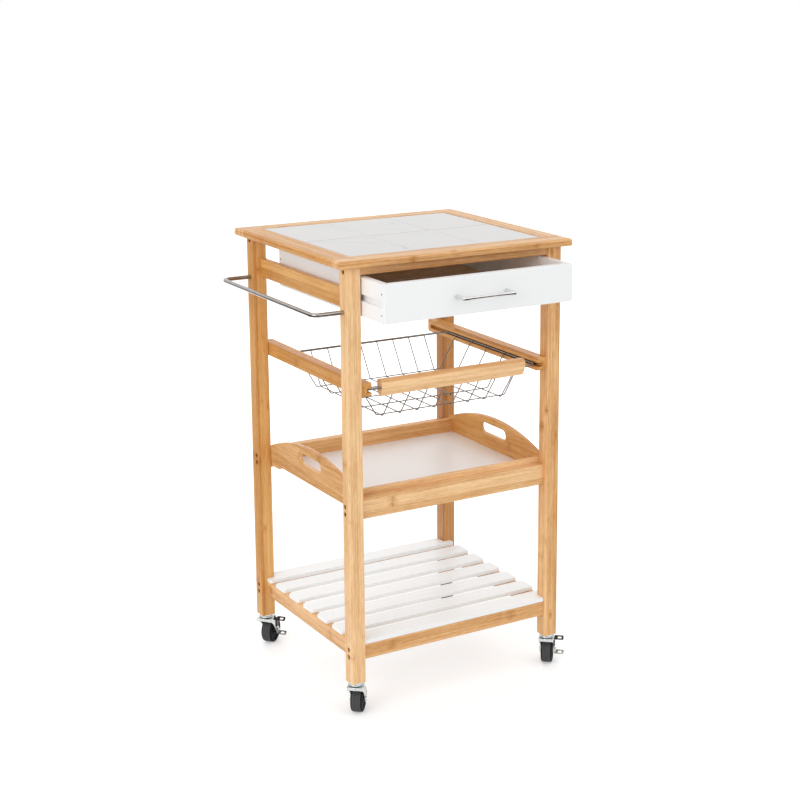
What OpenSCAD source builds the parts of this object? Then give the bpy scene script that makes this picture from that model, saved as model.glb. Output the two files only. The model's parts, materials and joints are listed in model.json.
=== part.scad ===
// Kitchen trolley: a bamboo frame on swivel casters with a tiled worktop, a drawer,
// a wire basket, a lift-out tray and a slatted shelf. X runs across the width, the
// drawer opens towards -Y, the towel rail is on the -X side and Z is up.

/* [Frame] */
// Height of the worktop above the floor
cart_height = 850; // [800:5:900]
// Width across the outer faces of the legs
frame_width = 449; // [420:1:500]
// Depth across the outer faces of the legs
frame_depth = 411; // [390:1:450]
// Side of the square legs
leg_side = 28; // [26:1:32]
// Radius of the long edges of the legs
leg_edge = 2.5; // [1:0.5:4]
// Thickness of the rails that cross the front and the back
rail_thick = 17; // [15:1:20]
// Thickness of the rails that run along the sides
side_rail_thick = 12; // [10:1:16]
// Radius of the long edges of the rails
rail_edge = 1.5; // [0.5:0.5:3]
// Distance of the top and bottom cross rails behind the leg faces
rail_setback = 5; // [3:0.5:7]

/* [Worktop] */
// Thickness of the worktop frame
top_thick = 14; // [13:0.5:20]
// Overhang of the worktop beyond the legs at the sides
top_overhang_side = 17.5; // [5:0.5:30]
// Overhang of the worktop beyond the front legs
top_overhang_front = 10.5; // [5:0.5:30]
// Overhang of the worktop beyond the back legs
top_overhang_back = 15; // [5:0.5:30]
// Width of the worktop's side rails
top_rail_side = 41; // [35:1:55]
// Width of the worktop's front rail
top_rail_front = 44; // [35:1:55]
// Width of the worktop's back rail
top_rail_back = 38; // [35:1:55]
// Radius of the worktop's rounded upper edge
top_round = 4.5; // [2:0.5:6]
// Radius of the worktop's rounded lower edge
top_bead = 3; // [1:0.5:4]
// Radius of the groove between the two rounded edges
top_groove = 1; // [0.5:0.1:1.5]
// Thickness of the board under the tiles
board_thick = 5; // [4:0.5:5.5]
// Depth by which the board stands in the grooves of the rails
board_tongue = 8; // [5:0.5:12]
// Thickness of the tiles
tile_thick = 6.5; // [5:0.5:6.5]
// Depth of the tile faces below the bamboo
tile_drop = 0.5; // [0:0.1:1]
// Width of the grout lines
tile_gap = 3; // [2:0.5:5]
// Depth of the grout below the tile faces
grout_drop = 0.6; // [0.3:0.1:1.5]
// Number of tiles across the width
tile_columns = 3; // [2:1:4]
// Number of tiles from front to back
tile_rows = 2; // [1:1:3]

/* [Top rails and runners] */
// Height of the thin cross rails under the worktop
apron_height = 15; // [14:0.5:18]
// Height of the upper side rails
side_rail_height = 35; // [30:1:40]
// Gap between the worktop and the upper side rails
side_rail_drop = 43; // [38:1:50]
// Height of the drawer runners
runner_height = 10; // [8:0.5:12]
// Distance of the runners below the top of the side rails
runner_drop = 5; // [4:0.5:8]
// Distance by which the runners stand in from the side rails
runner_reach = 8; // [6:0.5:8.5]
// Distance of the runners' front ends behind the leg faces
runner_setback = 20; // [10.5:0.5:40]

/* [Drawer] */
// Height of the drawer
drawer_height = 69; // [60:1:70]
// Distance by which the drawer stands open at rest
drawer_open = 80; // [40:5:120]
// Gap between the drawer and the leg on each side
drawer_side_gap = 2; // [1.5:0.5:3]
// Gap between the drawer and the cross rail above it
drawer_top_gap = 3; // [2:0.5:6]
// Distance of the closed drawer's end from the back faces of the legs
drawer_back_gap = 1; // [1:1:60]
// Thickness of the drawer front
drawer_front_thick = 15; // [12:1:18]
// Thickness of the drawer sides and back
drawer_side_thick = 12; // [12:0.5:15]
// Thickness of the front's lip over the ends of the sides
drawer_lip = 5; // [3:0.5:8]
// Depth of the runner grooves in the drawer sides
drawer_groove = 7; // [6:0.5:8]
// Thickness of the drawer bottom
drawer_bottom_thick = 4; // [3:0.5:6]
// Height of the drawer bottom above the lower edge
drawer_bottom_rise = 6; // [4:0.5:12]
// Distance between the handle's posts
handle_span = 102; // [80:1:140]
// Distance of the handle bar from the drawer front
handle_reach = 26; // [20:1:35]
// Diameter of the handle's posts and of the ends of its bar
handle_diameter = 8; // [6:0.5:10]
// Diameter of the handle bar at its middle
handle_waist = 5; // [4:0.5:6]

/* [Basket] */
// Height of the basket guides
guide_height = 25.5; // [24:0.5:34]
// Thickness of the basket guides
guide_thick = 20; // [18:1:26]
// Distance of the guides' lower edge below the top of the cart
guide_drop = 248; // [210:1:290]
// Distance of the groove below the top of the guides
guide_lip = 10; // [9:0.5:14]
// Height of the groove in the guides
guide_groove = 8; // [5.5:0.1:9]
// Depth of the groove in the guides
guide_groove_depth = 9; // [5.5:0.5:10]
// Length of the closed end of the groove at the back
guide_stop = 10; // [6:1:20]
// Distance of the guides' ends from the leg faces
guide_end_gap = 2.5; // [0:0.5:6]
// Radius of the lower corners of the guides
guide_corner = 5; // [4:1:12]
// Diameter of the basket's rim wire
rim_wire = 4.5; // [4:0.1:5]
// Distance by which the rim's centre stands in the guide grooves
rim_engage = 4; // [1.5:0.5:5]
// Depth of the basket from its front bar to its back
basket_length = 326; // [280:1:330]
// Distance of the rim's front behind the leg faces
basket_inset = 14.5; // [8:0.5:30]
// Depth of the basket below its rim
basket_depth = 62; // [50:1:80]
// Distance by which the basket's side walls slope inwards
basket_slope_side = 42.5; // [25:0.5:48]
// Distance by which the basket's front and back walls slope inwards
basket_slope_end = 39; // [20:0.5:50]
// Distance of the outer cross wires from the bends of the long wires
cross_inset = 5; // [3.5:0.5:12]
// Diameter of the basket's thin wires
wire = 2.2; // [2:0.1:2.6]
// Depth by which the crossing wires are welded into each other
weld = 0.4; // [0.2:0.1:0.6]
// Number of wires that run from front to back
long_wires = 8; // [6:1:10]
// Number of wires that run across
cross_wires = 5; // [4:1:7]
// Length of the wooden grip bar
grip_length = 304; // [290:1:320]
// Depth of the grip bar
grip_depth = 18.5; // [17:0.5:22]
// Height of the grip bar
grip_height = 32; // [28:1:36]
// Radius of the grip bar's edges
grip_edge = 3; // [2:0.5:4]
// Height of the rim wire above the lower edge of the grip bar
grip_wire_rise = 16.5; // [14:0.5:20]
// Distance of the rim wire behind the front of the grip bar
grip_wire_inset = 5.5; // [5:0.5:8]

/* [Tray] */
// Height of the tray rails
tray_rail_height = 39; // [34:1:45]
// Height of the tray rails' lower edge above the floor
tray_rail_level = 375; // [340:5:410]
// Distance of the tray rails behind the leg faces
tray_rail_setback = 11; // [8:0.5:11]
// Height of the ledge that carries the tray
ledge_height = 14; // [8:1:16]
// Distance of the ledge above the lower edge of the tray rails
ledge_rise = 4; // [1:0.5:8]
// Depth of the ledge that carries the tray
ledge_depth = 32; // [28:1:40]
// Distance between the tray's ends and the outer faces of the legs
tray_end_inset = 16.5; // [6:0.5:20]
// Free space for the tray between the tray rails
tray_play = 24; // [4:1:26]
// Thickness of the tray's wooden sides
tray_thick = 10; // [8:0.5:12]
// Height of the tray's front and back
tray_side_height = 31; // [25:1:40]
// Height of the tray's ends at their corners
tray_corner_height = 35; // [30:1:45]
// Height by which the ends rise to the middle of their arch
tray_arch = 32; // [24:1:40]
// Thickness of the tray's floor
tray_floor_thick = 4; // [3:0.5:6]
// Length of the slots that serve as handles
slot_length = 95; // [80:1:120]
// Height of the slots that serve as handles
slot_height = 22; // [18:1:26]
// Height of the slots' centre above the tray's lower edge
slot_level = 42; // [38:1:44]

/* [Shelf] */
// Height of the bottom rails
base_rail_height = 29; // [25:1:40]
// Height of the bottom rails' lower edge above the floor
base_rail_level = 110; // [95:5:130]
// Thickness of the bottom side rails
base_side_thick = 16; // [14:1:20]
// Number of slats
slat_count = 7; // [5:1:8]
// Width of the slats
slat_width = 41; // [36:1:46]
// Thickness of the slats
slat_thick = 8; // [6:1:12]
// Distance of the outer slats' edges from the leg faces
slat_inset = 3.5; // [2:0.5:8]
// Radius of the slats' corners
slat_corner = 5; // [2:1:8]

/* [Towel rail] */
// Diameter of the towel rail
towel_diameter = 8; // [6:0.5:10]
// Distance of the towel rail from the legs
towel_reach = 57; // [45:1:70]
// Distance of the towel rail below the top of the cart
towel_drop = 93; // [85:1:150]
// Radius of the towel rail's bends
towel_bend = 14; // [8:1:20]
// Depth of the towel rail's holes in the legs
towel_hole_depth = 13; // [8:1:18]

/* [Bolts] */
// Diameter of the bolts' shanks
bolt_diameter = 6; // [5:0.5:7]
// Diameter of the bolts' heads
bolt_head = 9; // [8:0.5:10]
// Thickness of the bolts' heads
bolt_head_thick = 4; // [3:0.5:5]
// Depth of the bolt heads below the face of the legs
bolt_sink = 2; // [1:0.5:4]
// Length of the bolts inside the rails
bolt_grip = 30; // [20:1:40]
// Distance between the two bolts of a wide rail
bolt_pitch = 14; // [12:1:16]
// Diameter of the small screws in the drawer sides
screw_diameter = 3; // [2:0.5:4]

/* [Casters] */
// Height of the casters
caster_height = 68; // [66:1:80]
// Diameter of the wheels
wheel_diameter = 50; // [40:1:51]
// Width of the wheels
wheel_width = 22; // [16:1:24]
// Distance of the wheel's axle behind the swivel axis
caster_trail = 20; // [14:1:24]
// Direction in which the casters trail, from +X towards +Y
caster_heading = 50; // [0:1:80]
// Direction in which the back left caster trails
back_left_heading = 40; // [0:1:80]
// Thickness of the fork's sheet metal
fork_sheet = 2; // [1.5:0.1:2.5]
// Diameter of the axles
axle_diameter = 6; // [5:0.5:7]
// Diameter of the round cap on top of the forks
cap_diameter = 31; // [28:0.5:34]
// Diameter of the swivel pins
pin_diameter = 7; // [6:0.5:8]
// Diameter of the stems in the legs
stem_diameter = 9; // [7:0.5:10]
// Length of the stems in the legs
stem_length = 32; // [25:1:40]

/* [Clearances] */
// Radial clearance of the running fits
running_fit = 0.05; // [0.02:0.01:0.09]
// Gap between faces that slide over each other
slide_gap = 0.3; // [0.2:0.05:0.5]
// Gap between a hole in wood and what stands in it
hole_gap = 0.2; // [0.1:0.05:0.3]

/* [Hidden] */
$fn = 48;

bamboo = "#e0b57c";
bamboo_light = "#e8c391";
white = "#f4f4f2";
steel = "#c9ccd0";
black = "#2b2b2d";
eps = 0.01;

// frame
half_w = frame_width / 2;
half_d = frame_depth / 2;
leg_x = half_w - leg_side / 2;
leg_y = half_d - leg_side / 2;
leg_top = cart_height - top_thick;
bay_x = half_w - leg_side;
bay_y = half_d - leg_side;
apron_level = leg_top - apron_height;
cross_y = half_d - rail_setback - rail_thick / 2;
side_rail_top = leg_top - side_rail_drop;
side_rail_level = side_rail_top - side_rail_height;
runner_level = side_rail_top - runner_drop - runner_height;
towel_level = cart_height - towel_drop;

// worktop
top_left = half_w + top_overhang_side;
top_front = half_d + top_overhang_front;
top_back = half_d + top_overhang_back;
open_x = top_left - top_rail_side;
open_front = top_front - top_rail_front;
open_back = top_back - top_rail_back;
tile_top = cart_height - tile_drop;
tile_level = tile_top - tile_thick;
board_level = tile_level - board_thick;
tile_w = (2 * open_x - (tile_columns + 1) * tile_gap) / tile_columns;
tile_d = (open_front + open_back - (tile_rows + 1) * tile_gap) / tile_rows;

// drawer
drawer_half = bay_x - drawer_side_gap;
drawer_top = apron_level - drawer_top_gap;
drawer_level = drawer_top - drawer_height;
drawer_y = -half_d - drawer_open;
drawer_depth = frame_depth - drawer_back_gap;
drawer_groove_top = runner_level + runner_height + slide_gap;
drawer_groove_height = runner_height + slide_gap + 2;
drawer_inner = drawer_half - drawer_side_thick;
handle_level = drawer_level + drawer_height / 2;

// basket
guide_level = cart_height - guide_drop;
guide_inner = bay_x - guide_thick;
groove_top = guide_level + guide_height - guide_lip;
rim_level = groove_top - guide_groove + rim_wire / 2 + slide_gap;
rim_half = guide_inner + rim_engage;
rim_front = -half_d + basket_inset;
rim_back = rim_front + basket_length;
basket_mid = (rim_front + rim_back) / 2;
floor_half_x = rim_half - basket_slope_side;
floor_half_y = basket_length / 2 - basket_slope_end;
cross_level = rim_level - basket_depth;
long_level = cross_level - wire + weld;
grip_level = rim_level - grip_wire_rise;
grip_hole_depth = 8;
grip_low = 9.8;
wire_end_y = rim_front - grip_wire_inset + grip_low;
wire_turn_x = guide_inner - wire - slide_gap;
long_half = floor_half_x - 11;
long_places = [for (k = [0 : long_wires - 1])
               -long_half + 2 * long_half * k / (long_wires - 1)];

// tray
tray_bay = half_d - tray_rail_setback - rail_thick;
tray_depth = 2 * tray_bay - tray_play;
tray_front_y = -tray_bay + slide_gap;
tray_mid = tray_front_y + tray_depth / 2;
tray_level = tray_rail_level + ledge_rise + ledge_height + slide_gap;
tray_half = half_w - tray_end_inset;
arch_radius = (tray_depth * tray_depth / 4 + tray_arch * tray_arch) / (2 * tray_arch);

// shelf
slat_level = base_rail_level + base_rail_height;
slat_pitch = (frame_depth - 2 * slat_inset - slat_width) / (slat_count - 1);
slat_half = bay_x + base_side_thick;

// bolts: [distance from the cart's middle, height, height step, number]
bolt_rows = [[cross_y, apron_level + apron_height / 2, 0, 1],
             [half_d - tray_rail_setback - rail_thick / 2,
              tray_rail_level + tray_rail_height / 2, bolt_pitch, 2],
             [cross_y, base_rail_level + base_rail_height / 2, bolt_pitch, 2]];
bolt_seat = bolt_sink + bolt_head_thick;

// casters
wheel_r = wheel_diameter / 2;
fork_inside = wheel_width + 2 * 0.75;
fork_outside = fork_inside + 2 * fork_sheet;
mount_plate = 2.5;
mount_ring = 5;
ring_r = 11.5;
fork_top = caster_height - mount_plate - mount_ring - slide_gap;
cap_depth = 5.5;
cap_round = 2.5;
cheek_r = 6.5;
fork_hollow = [11.5, 10.6];
axle_head = 1.8;
pin_head = 2;
brake_sheet = 1.6;
brake_reach = 15;
brake_up = 25;
brake_down = 6.8;
brake_width = 9;
brake_corner = 2;
brake_tilt = 40;
brake_shift = 4;
brake_side = fork_outside / 2 + slide_gap;
brake_end = brake_side + brake_reach + 2 * brake_sheet;
wheel_edge = 4;
seat_gap = 0.1;

// the origin lies on the floor under the middle of the whole cart's box
tab_corner = caster_trail + brake_shift + (brake_width / 2 - brake_corner) * cos(brake_tilt);
reach_right = leg_x + tab_corner * cos(caster_heading)
              + (brake_end - brake_corner) * sin(caster_heading) + brake_corner;
reach_left = half_w + towel_reach + towel_diameter / 2;
reach_front = -drawer_y + handle_reach + handle_diameter / 2;
back_heading = max(caster_heading, back_left_heading);
reach_back = leg_y + (caster_trail + wheel_r - wheel_edge) * sin(back_heading)
             + (wheel_width / 2 - wheel_edge) * cos(back_heading) + wheel_edge;
origin_x = (reach_left - max(reach_right, top_left)) / 2;
origin_y = (reach_front - max(reach_back, top_back)) / 2;

module place() {
    translate([origin_x, origin_y, 0]) children();
}

// ---- shared shapes ----

module rounded_rect(w, d, r) {
    union() {
        square([w - 2 * r, d], center = true);
        square([w, d - 2 * r], center = true);
        for (x = [-1, 1], y = [-1, 1])
            translate([x * (w / 2 - r), y * (d / 2 - r)]) circle(r, $fn = 24);
    }
}

// a bar along X with rounded long edges, centred on x = 0 and y = 0, standing on z = 0
module bar_x(length, depth, height, r) {
    translate([-length / 2, 0, height / 2])
        rotate([90, 0, 90])
            linear_extrude(length) rounded_rect(depth, height, r);
}

// a bar along Y, placed in the same way
module bar_y(length, width, height, r) {
    rotate([0, 0, 90]) bar_x(length, width, height, r);
}

// a hole along X that starts at the origin and runs towards +X
module hole_x(d, depth) {
    rotate([0, 90, 0]) cylinder(h = depth, d = d);
}

// calls its child at each bolt of the front left corner, at the outer face of the leg
module at_bolts() {
    for (row = bolt_rows, k = [0 : row[3] - 1])
        translate([-half_w, -row[0], row[1] + (k - (row[3] - 1) / 2) * row[2]])
            children();
}

// mirrors its child from the front left corner to another one
module corner(x, y) {
    mirror([x > 0 ? 1 : 0, 0, 0]) mirror([0, y > 0 ? 1 : 0, 0]) children();
}

// ---- legs and rails ----

module leg(x, y) {
    color(bamboo) place() corner(x, y) difference() {
        translate([-leg_x, -leg_y, caster_height])
            linear_extrude(leg_top - caster_height)
                rounded_rect(leg_side, leg_side, leg_edge);
        at_bolts() {
            translate([-eps, 0, 0]) hole_x(bolt_head + 2 * hole_gap, bolt_seat + eps);
            hole_x(bolt_diameter + 2 * hole_gap, leg_side + eps);
        }
        translate([-leg_x, -leg_y, caster_height - eps])
            cylinder(h = stem_length + 1, d = stem_diameter + 2 * hole_gap);
        if (x < 0)
            translate([-half_w - eps, -leg_y, towel_level])
                hole_x(towel_diameter + 2 * hole_gap, towel_hole_depth + 1);
    }
}

// cuts the bolt holes into both ends of a rail at the front
module rail_holes() {
    for (x = [0, 1]) mirror([x, 0, 0]) at_bolts()
        translate([leg_side - eps, 0, 0])
            hole_x(bolt_diameter + 2 * hole_gap, bolt_grip + 1);
}

module cross_rail(y, level, height) {
    color(bamboo) place() corner(-1, y) difference() {
        translate([0, -cross_y, level]) bar_x(2 * bay_x, rail_thick, height, rail_edge);
        rail_holes();
    }
}

module side_rail(x) {
    color(bamboo) place() corner(x, -1)
        translate([-bay_x - side_rail_thick / 2, 0, side_rail_level])
            bar_y(2 * bay_y, side_rail_thick, side_rail_height, rail_edge);
}

module base_side_rail(x) {
    color(bamboo) place() corner(x, -1)
        translate([-bay_x - base_side_thick / 2, 0, base_rail_level])
            bar_y(2 * bay_y, base_side_thick, base_rail_height, rail_edge);
}

module runner(x) {
    color(bamboo_light) place() corner(x, -1)
        translate([-bay_x, -half_d + runner_setback, runner_level])
            cube([runner_reach, frame_depth - runner_setback - rail_setback,
                  runner_height]);
}

// a tray rail has a ledge along its inner face, between the legs
module tray_rail(y) {
    color(bamboo) place() corner(-1, y) difference() {
        union() {
            translate([0, -tray_bay - rail_thick / 2, tray_rail_level])
                bar_x(2 * bay_x, rail_thick, tray_rail_height, rail_edge);
            translate([-bay_x, -tray_bay - rail_thick / 2, tray_rail_level + ledge_rise])
                cube([2 * bay_x, rail_thick / 2 + ledge_depth, ledge_height]);
        }
        rail_holes();
    }
}

// ---- basket guides ----

module guide_outline(length) {
    r = guide_corner;
    union() {
        translate([0, r]) square([length, guide_height - r]);
        translate([r, 0]) square([length - 2 * r, guide_height]);
        for (y = [r, length - r]) translate([y, r]) circle(r);
    }
}

module guide(x) {
    length = frame_depth - 2 * guide_end_gap;
    color(bamboo) place() corner(x, -1) difference() {
        translate([-bay_x, -length / 2, guide_level])
            rotate([90, 0, 90]) linear_extrude(guide_thick) guide_outline(length);
        translate([-guide_inner - guide_groove_depth, -length / 2 - eps,
                   groove_top - guide_groove])
            cube([guide_groove_depth + eps, length - guide_stop, guide_groove]);
    }
}

// ---- shelf ----

module slat(k) {
    y = -half_d + slat_inset + slat_width / 2 + k * slat_pitch;
    color(white) place() difference() {
        translate([0, y, slat_level])
            linear_extrude(slat_thick)
                rounded_rect(2 * slat_half, slat_width, slat_corner);
        for (i = [-1, 1], j = [-1, 1])
            translate([i * leg_x, j * leg_y, slat_level + slat_thick / 2])
                cube([leg_side + 2 * slide_gap, leg_side + 2 * slide_gap,
                      2 * slat_thick], center = true);
    }
}

// ---- worktop ----

// what the moulding takes off an edge: the edge runs along Z, the wood lies at x < 0
module moulding(length) {
    translate([0, 0, -1]) linear_extrude(length + 2) {
        difference() {
            translate([-top_round, top_thick - top_round])
                square([top_round + 1, top_round + 1]);
            translate([-top_round, top_thick - top_round]) circle(top_round);
        }
        difference() {
            translate([-top_bead, -1]) square([top_bead + 1, top_bead + 1]);
            translate([-top_bead, top_bead]) circle(top_bead);
        }
        translate([0, top_thick - top_round - top_groove]) circle(top_groove);
    }
}

// the four moulded edges of the worktop
module top_moulding() {
    w = 2 * top_left;
    d = top_front + top_back;
    translate([-top_left, -top_front, leg_top]) {
        translate([w, 0, 0]) rotate([90, 0, 0]) mirror([0, 0, 1]) moulding(d);
        translate([0, 0, 0]) mirror([1, 0, 0]) rotate([90, 0, 0])
            mirror([0, 0, 1]) moulding(d);
        translate([0, d, 0]) rotate([90, 0, 90]) moulding(w);
        mirror([0, 1, 0]) rotate([90, 0, 90]) moulding(w);
    }
}

module board_blank(gap) {
    translate([-open_x - board_tongue - gap, -open_front - board_tongue - gap,
               board_level - gap])
        cube([2 * (open_x + board_tongue + gap),
              open_front + open_back + 2 * (board_tongue + gap),
              board_thick + 2 * gap]);
}

module top_cross_rail(y_low, y_high) {
    color(bamboo_light) place() difference() {
        translate([-top_left, y_low, leg_top])
            cube([2 * top_left, y_high - y_low, top_thick]);
        top_moulding();
        board_blank(hole_gap);
    }
}

module top_side_rail(x) {
    color(bamboo_light) place() corner(x, -1) difference() {
        translate([-top_left, -open_front, leg_top])
            cube([top_rail_side, open_front + open_back, top_thick]);
        top_moulding();
        board_blank(hole_gap);
    }
}

module top_board() {
    color(white) place() board_blank(0);
}

module tile_grid(thick, grow) {
    for (i = [0 : tile_columns - 1], j = [0 : tile_rows - 1])
        translate([-open_x + tile_gap + i * (tile_w + tile_gap) - grow,
                   -open_front + tile_gap + j * (tile_d + tile_gap) - grow, 0])
            cube([tile_w + 2 * grow, tile_d + 2 * grow, thick]);
}

module top_tiles() {
    color("#e9e9e9") place() translate([0, 0, tile_level]) tile_grid(tile_thick, 0);
}

module top_grout() {
    color("#f7f7f4") place() translate([0, 0, tile_level]) difference() {
        translate([-open_x, -open_front, 0])
            cube([2 * open_x, open_front + open_back, tile_thick - grout_drop]);
        translate([0, 0, -1]) tile_grid(tile_thick + 2, 0);
    }
}

// ---- towel rail and bolts ----

module towel_rail() {
    x = half_w + towel_reach;
    straight = 2 * (leg_y - towel_bend);
    color(steel) place() translate([0, 0, towel_level]) {
        translate([-x, -straight / 2, 0])
            rotate([-90, 0, 0]) cylinder(h = straight, d = towel_diameter);
        for (s = [0, 1]) mirror([0, s, 0]) {
            translate([-x + towel_bend, -straight / 2, 0])
                rotate([0, 0, 180]) rotate_extrude(angle = 90)
                    translate([towel_bend, 0]) circle(d = towel_diameter);
            translate([-x + towel_bend, -leg_y, 0])
                hole_x(towel_diameter, towel_reach - towel_bend + towel_hole_depth);
        }
    }
}

module frame_bolts() {
    color(steel) place() for (x = [-1, 1], y = [-1, 1]) corner(x, y) at_bolts() {
        translate([bolt_sink, 0, 0]) hole_x(bolt_head, bolt_head_thick);
        translate([bolt_seat - eps, 0, 0])
            hole_x(bolt_diameter, leg_side - bolt_seat + bolt_grip);
    }
}

// ---- drawer ----

module drawer_front() {
    color(white) place() translate([0, drawer_y, drawer_level]) difference() {
        translate([-drawer_half, 0, 0])
            cube([2 * drawer_half, drawer_front_thick, drawer_height]);
        for (x = [-1, 1])
            translate([x * (drawer_half - drawer_side_thick / 2), drawer_lip
                       + drawer_front_thick / 2, drawer_height / 2])
                cube([drawer_side_thick + eps, drawer_front_thick,
                      drawer_height + 1], center = true);
        translate([-drawer_inner - eps, drawer_front_thick - drawer_lip,
                   drawer_bottom_rise - hole_gap])
            cube([2 * drawer_inner, drawer_lip + eps,
                  drawer_bottom_thick + 2 * hole_gap]);
    }
}

module drawer_side(x) {
    color(white) place() corner(x, -1) difference() {
        translate([-drawer_half, drawer_y + drawer_lip, drawer_level])
            cube([drawer_side_thick, drawer_depth - drawer_lip, drawer_height]);
        translate([-drawer_half - eps, drawer_y + 2 * drawer_lip,
                   drawer_groove_top - drawer_groove_height])
            cube([drawer_groove + eps, drawer_depth, drawer_groove_height]);
        translate([-drawer_inner - drawer_lip / 2, drawer_y,
                   drawer_level + drawer_bottom_rise - hole_gap])
            cube([drawer_lip, drawer_depth + 1, drawer_bottom_thick + 2 * hole_gap]);
        drawer_screw_places(drawer_screw_size());
    }
}

function drawer_screw_size() = screw_diameter + 2 * hole_gap;

// screws through each side into the front and the back, drawn on the left side
module drawer_screw_places(d) {
    for (y = [drawer_y + (drawer_lip + drawer_front_thick) / 2,
              drawer_y + drawer_depth - drawer_side_thick / 2],
         z = [0.2, 0.74])
        translate([-drawer_half - eps, y, drawer_level + z * drawer_height])
            hole_x(d, drawer_side_thick + 2 * eps);
}

module drawer_screws() {
    color(steel) place() for (x = [-1, 1]) corner(x, -1)
        drawer_screw_places(screw_diameter);
}

module drawer_back() {
    color(white) place()
        translate([-drawer_inner, drawer_y + drawer_depth - drawer_side_thick,
                   drawer_level + drawer_bottom_rise + drawer_bottom_thick + hole_gap])
            cube([2 * drawer_inner, drawer_side_thick,
                  drawer_height - drawer_bottom_rise - drawer_bottom_thick - hole_gap]);
}

module drawer_bottom() {
    half = drawer_inner + drawer_lip / 2 - hole_gap;
    color(white) place()
        translate([-half, drawer_y + drawer_front_thick - drawer_lip + hole_gap,
                   drawer_level + drawer_bottom_rise])
            cube([2 * half, drawer_depth - drawer_front_thick + drawer_lip - hole_gap,
                  drawer_bottom_thick]);
}

module drawer_handle() {
    waist_r = ((handle_diameter - handle_waist) * (handle_diameter - handle_waist) / 4
               + handle_span * handle_span / 4) / (handle_diameter - handle_waist);
    color(steel) place() translate([0, drawer_y, handle_level]) {
        for (x = [-1, 1]) translate([x * handle_span / 2, 0, 0]) {
            rotate([90, 0, 0]) cylinder(h = handle_reach, d = handle_diameter);
            translate([0, -handle_reach, 0]) sphere(d = handle_diameter);
        }
        translate([0, -handle_reach, 0]) rotate([0, 90, 0]) rotate_extrude()
            difference() {
                translate([0, -handle_span / 2])
                    square([handle_diameter / 2, handle_span]);
                translate([handle_waist / 2 + waist_r, 0]) circle(waist_r, $fn = 720);
            }
    }
}

// ---- basket ----

// corner points of a bent wire, turned into a smooth path with short arcs
function bend(a, b, c, r) =
    let (u = (a - b) / norm(a - b), v = (c - b) / norm(c - b),
         half = acos(u * v) / 2, reach = min(r / tan(half), norm(a - b) / 2,
                                             norm(c - b) / 2))
    [for (t = [0 : 1 / 3 : 1])
        let (p = b + u * reach, q = b + v * reach)
        (1 - t) * (1 - t) * p + 2 * t * (1 - t) * b + t * t * q];

function smooth_path(p, r) = concat([p[0]],
    [for (i = [1 : len(p) - 2]) each bend(p[i - 1], p[i], p[i + 1], r)],
    [p[len(p) - 1]]);

function unit(v) = v / norm(v);

// a round wire along a path that lies in one plane with the normal n
module bent_wire(path, d, n, sides) {
    last = len(path) - 1;
    rings = [for (i = [0 : last])
        let (t = unit(path[min(i + 1, last)] - path[max(i - 1, 0)]), s = cross(t, n))
        for (k = [0 : sides - 1])
            let (w = 360 * (k + 0.5) / sides)
            path[i] + d / 2 / cos(180 / sides) * (cos(w) * s + sin(w) * n)];
    sides_faces = [for (i = [0 : last - 1], k = [0 : sides - 1])
        let (a = i * sides, m = (k + 1) % sides)
        [a + k, a + m, a + sides + m, a + sides + k]];
    polyhedron(concat(rings), concat(sides_faces,
        [[for (k = [sides - 1 : -1 : 0]) k]],
        [[for (k = [0 : sides - 1]) last * sides + k]]), convexity = 4);
}

module rim() {
    inner = grip_length / 2 - 12;
    bent_wire(smooth_path([[-inner, rim_front, rim_level],
        [-rim_half, rim_front, rim_level], [-rim_half, rim_back, rim_level],
        [rim_half, rim_back, rim_level], [rim_half, rim_front, rim_level],
        [inner, rim_front, rim_level]], 9), rim_wire, [0, 0, 1], 10);
}

module long_wire(x) {
    top = rim_level - rim_wire / 2;
    bent_wire(smooth_path([[x, wire_end_y, grip_level + grip_hole_depth],
        [x, wire_end_y, grip_level - 2],
        [x, basket_mid - floor_half_y, long_level],
        [x, basket_mid + floor_half_y, long_level],
        [x, rim_back - weld, top + weld]], 4), wire, [1, 0, 0], 6);
}

module cross_wire(y) {
    end = rim_half - 1;
    bent_wire(smooth_path([[-end, y, rim_level], [-wire_turn_x, y, rim_level],
        [-floor_half_x, y, cross_level], [floor_half_x, y, cross_level],
        [wire_turn_x, y, rim_level], [end, y, rim_level]], 4), wire, [0, 1, 0], 6);
}

module basket_frame() {
    reach = floor_half_y - cross_inset;
    color(steel) place() union() {
        rim();
        for (x = long_places) long_wire(x);
        for (k = [0 : cross_wires - 1])
            cross_wire(basket_mid - reach + 2 * reach * k / (cross_wires - 1));
    }
}

// a polygon whose corners are rounded: c holds the centres of the corner circles
module rounded_polygon(c, r) {
    union() {
        polygon([for (i = [0 : len(c) - 1])
            let (a = c[i], b = c[(i + 1) % len(c)], d = unit(b - a), n = [d[1], -d[0]])
            each [a + r * n, b + r * n]]);
        for (p = c) translate(p) circle(r, $fn = 24);
    }
}

// section of the grip: its front leans back below the middle, to be pulled from below
module grip_section() {
    r = grip_edge;
    front = -grip_wire_inset;
    back = grip_depth - grip_wire_inset;
    rounded_polygon([[front + grip_low, r], [back - r, 10], [back - r, grip_height - r - 1],
                     [front + 7, grip_height - r], [front + r, grip_height - 6.5],
                     [front + r, 17]], r);
}

module basket_grip() {
    color(bamboo_light) place() difference() {
        translate([-grip_length / 2, rim_front, grip_level])
            rotate([90, 0, 90]) linear_extrude(grip_length) grip_section();
        for (x = [-1, 1]) translate([x * grip_length / 2, rim_front, rim_level])
            rotate([0, -90 * x, 0]) translate([0, 0, -eps])
                cylinder(h = 14, d = rim_wire / cos(18) + 2 * hole_gap);
        for (x = long_places) translate([x, wire_end_y, grip_level - eps])
            cylinder(h = grip_hole_depth + 1, d = wire / cos(30) + 2 * hole_gap);
    }
}

// ---- tray ----

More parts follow.
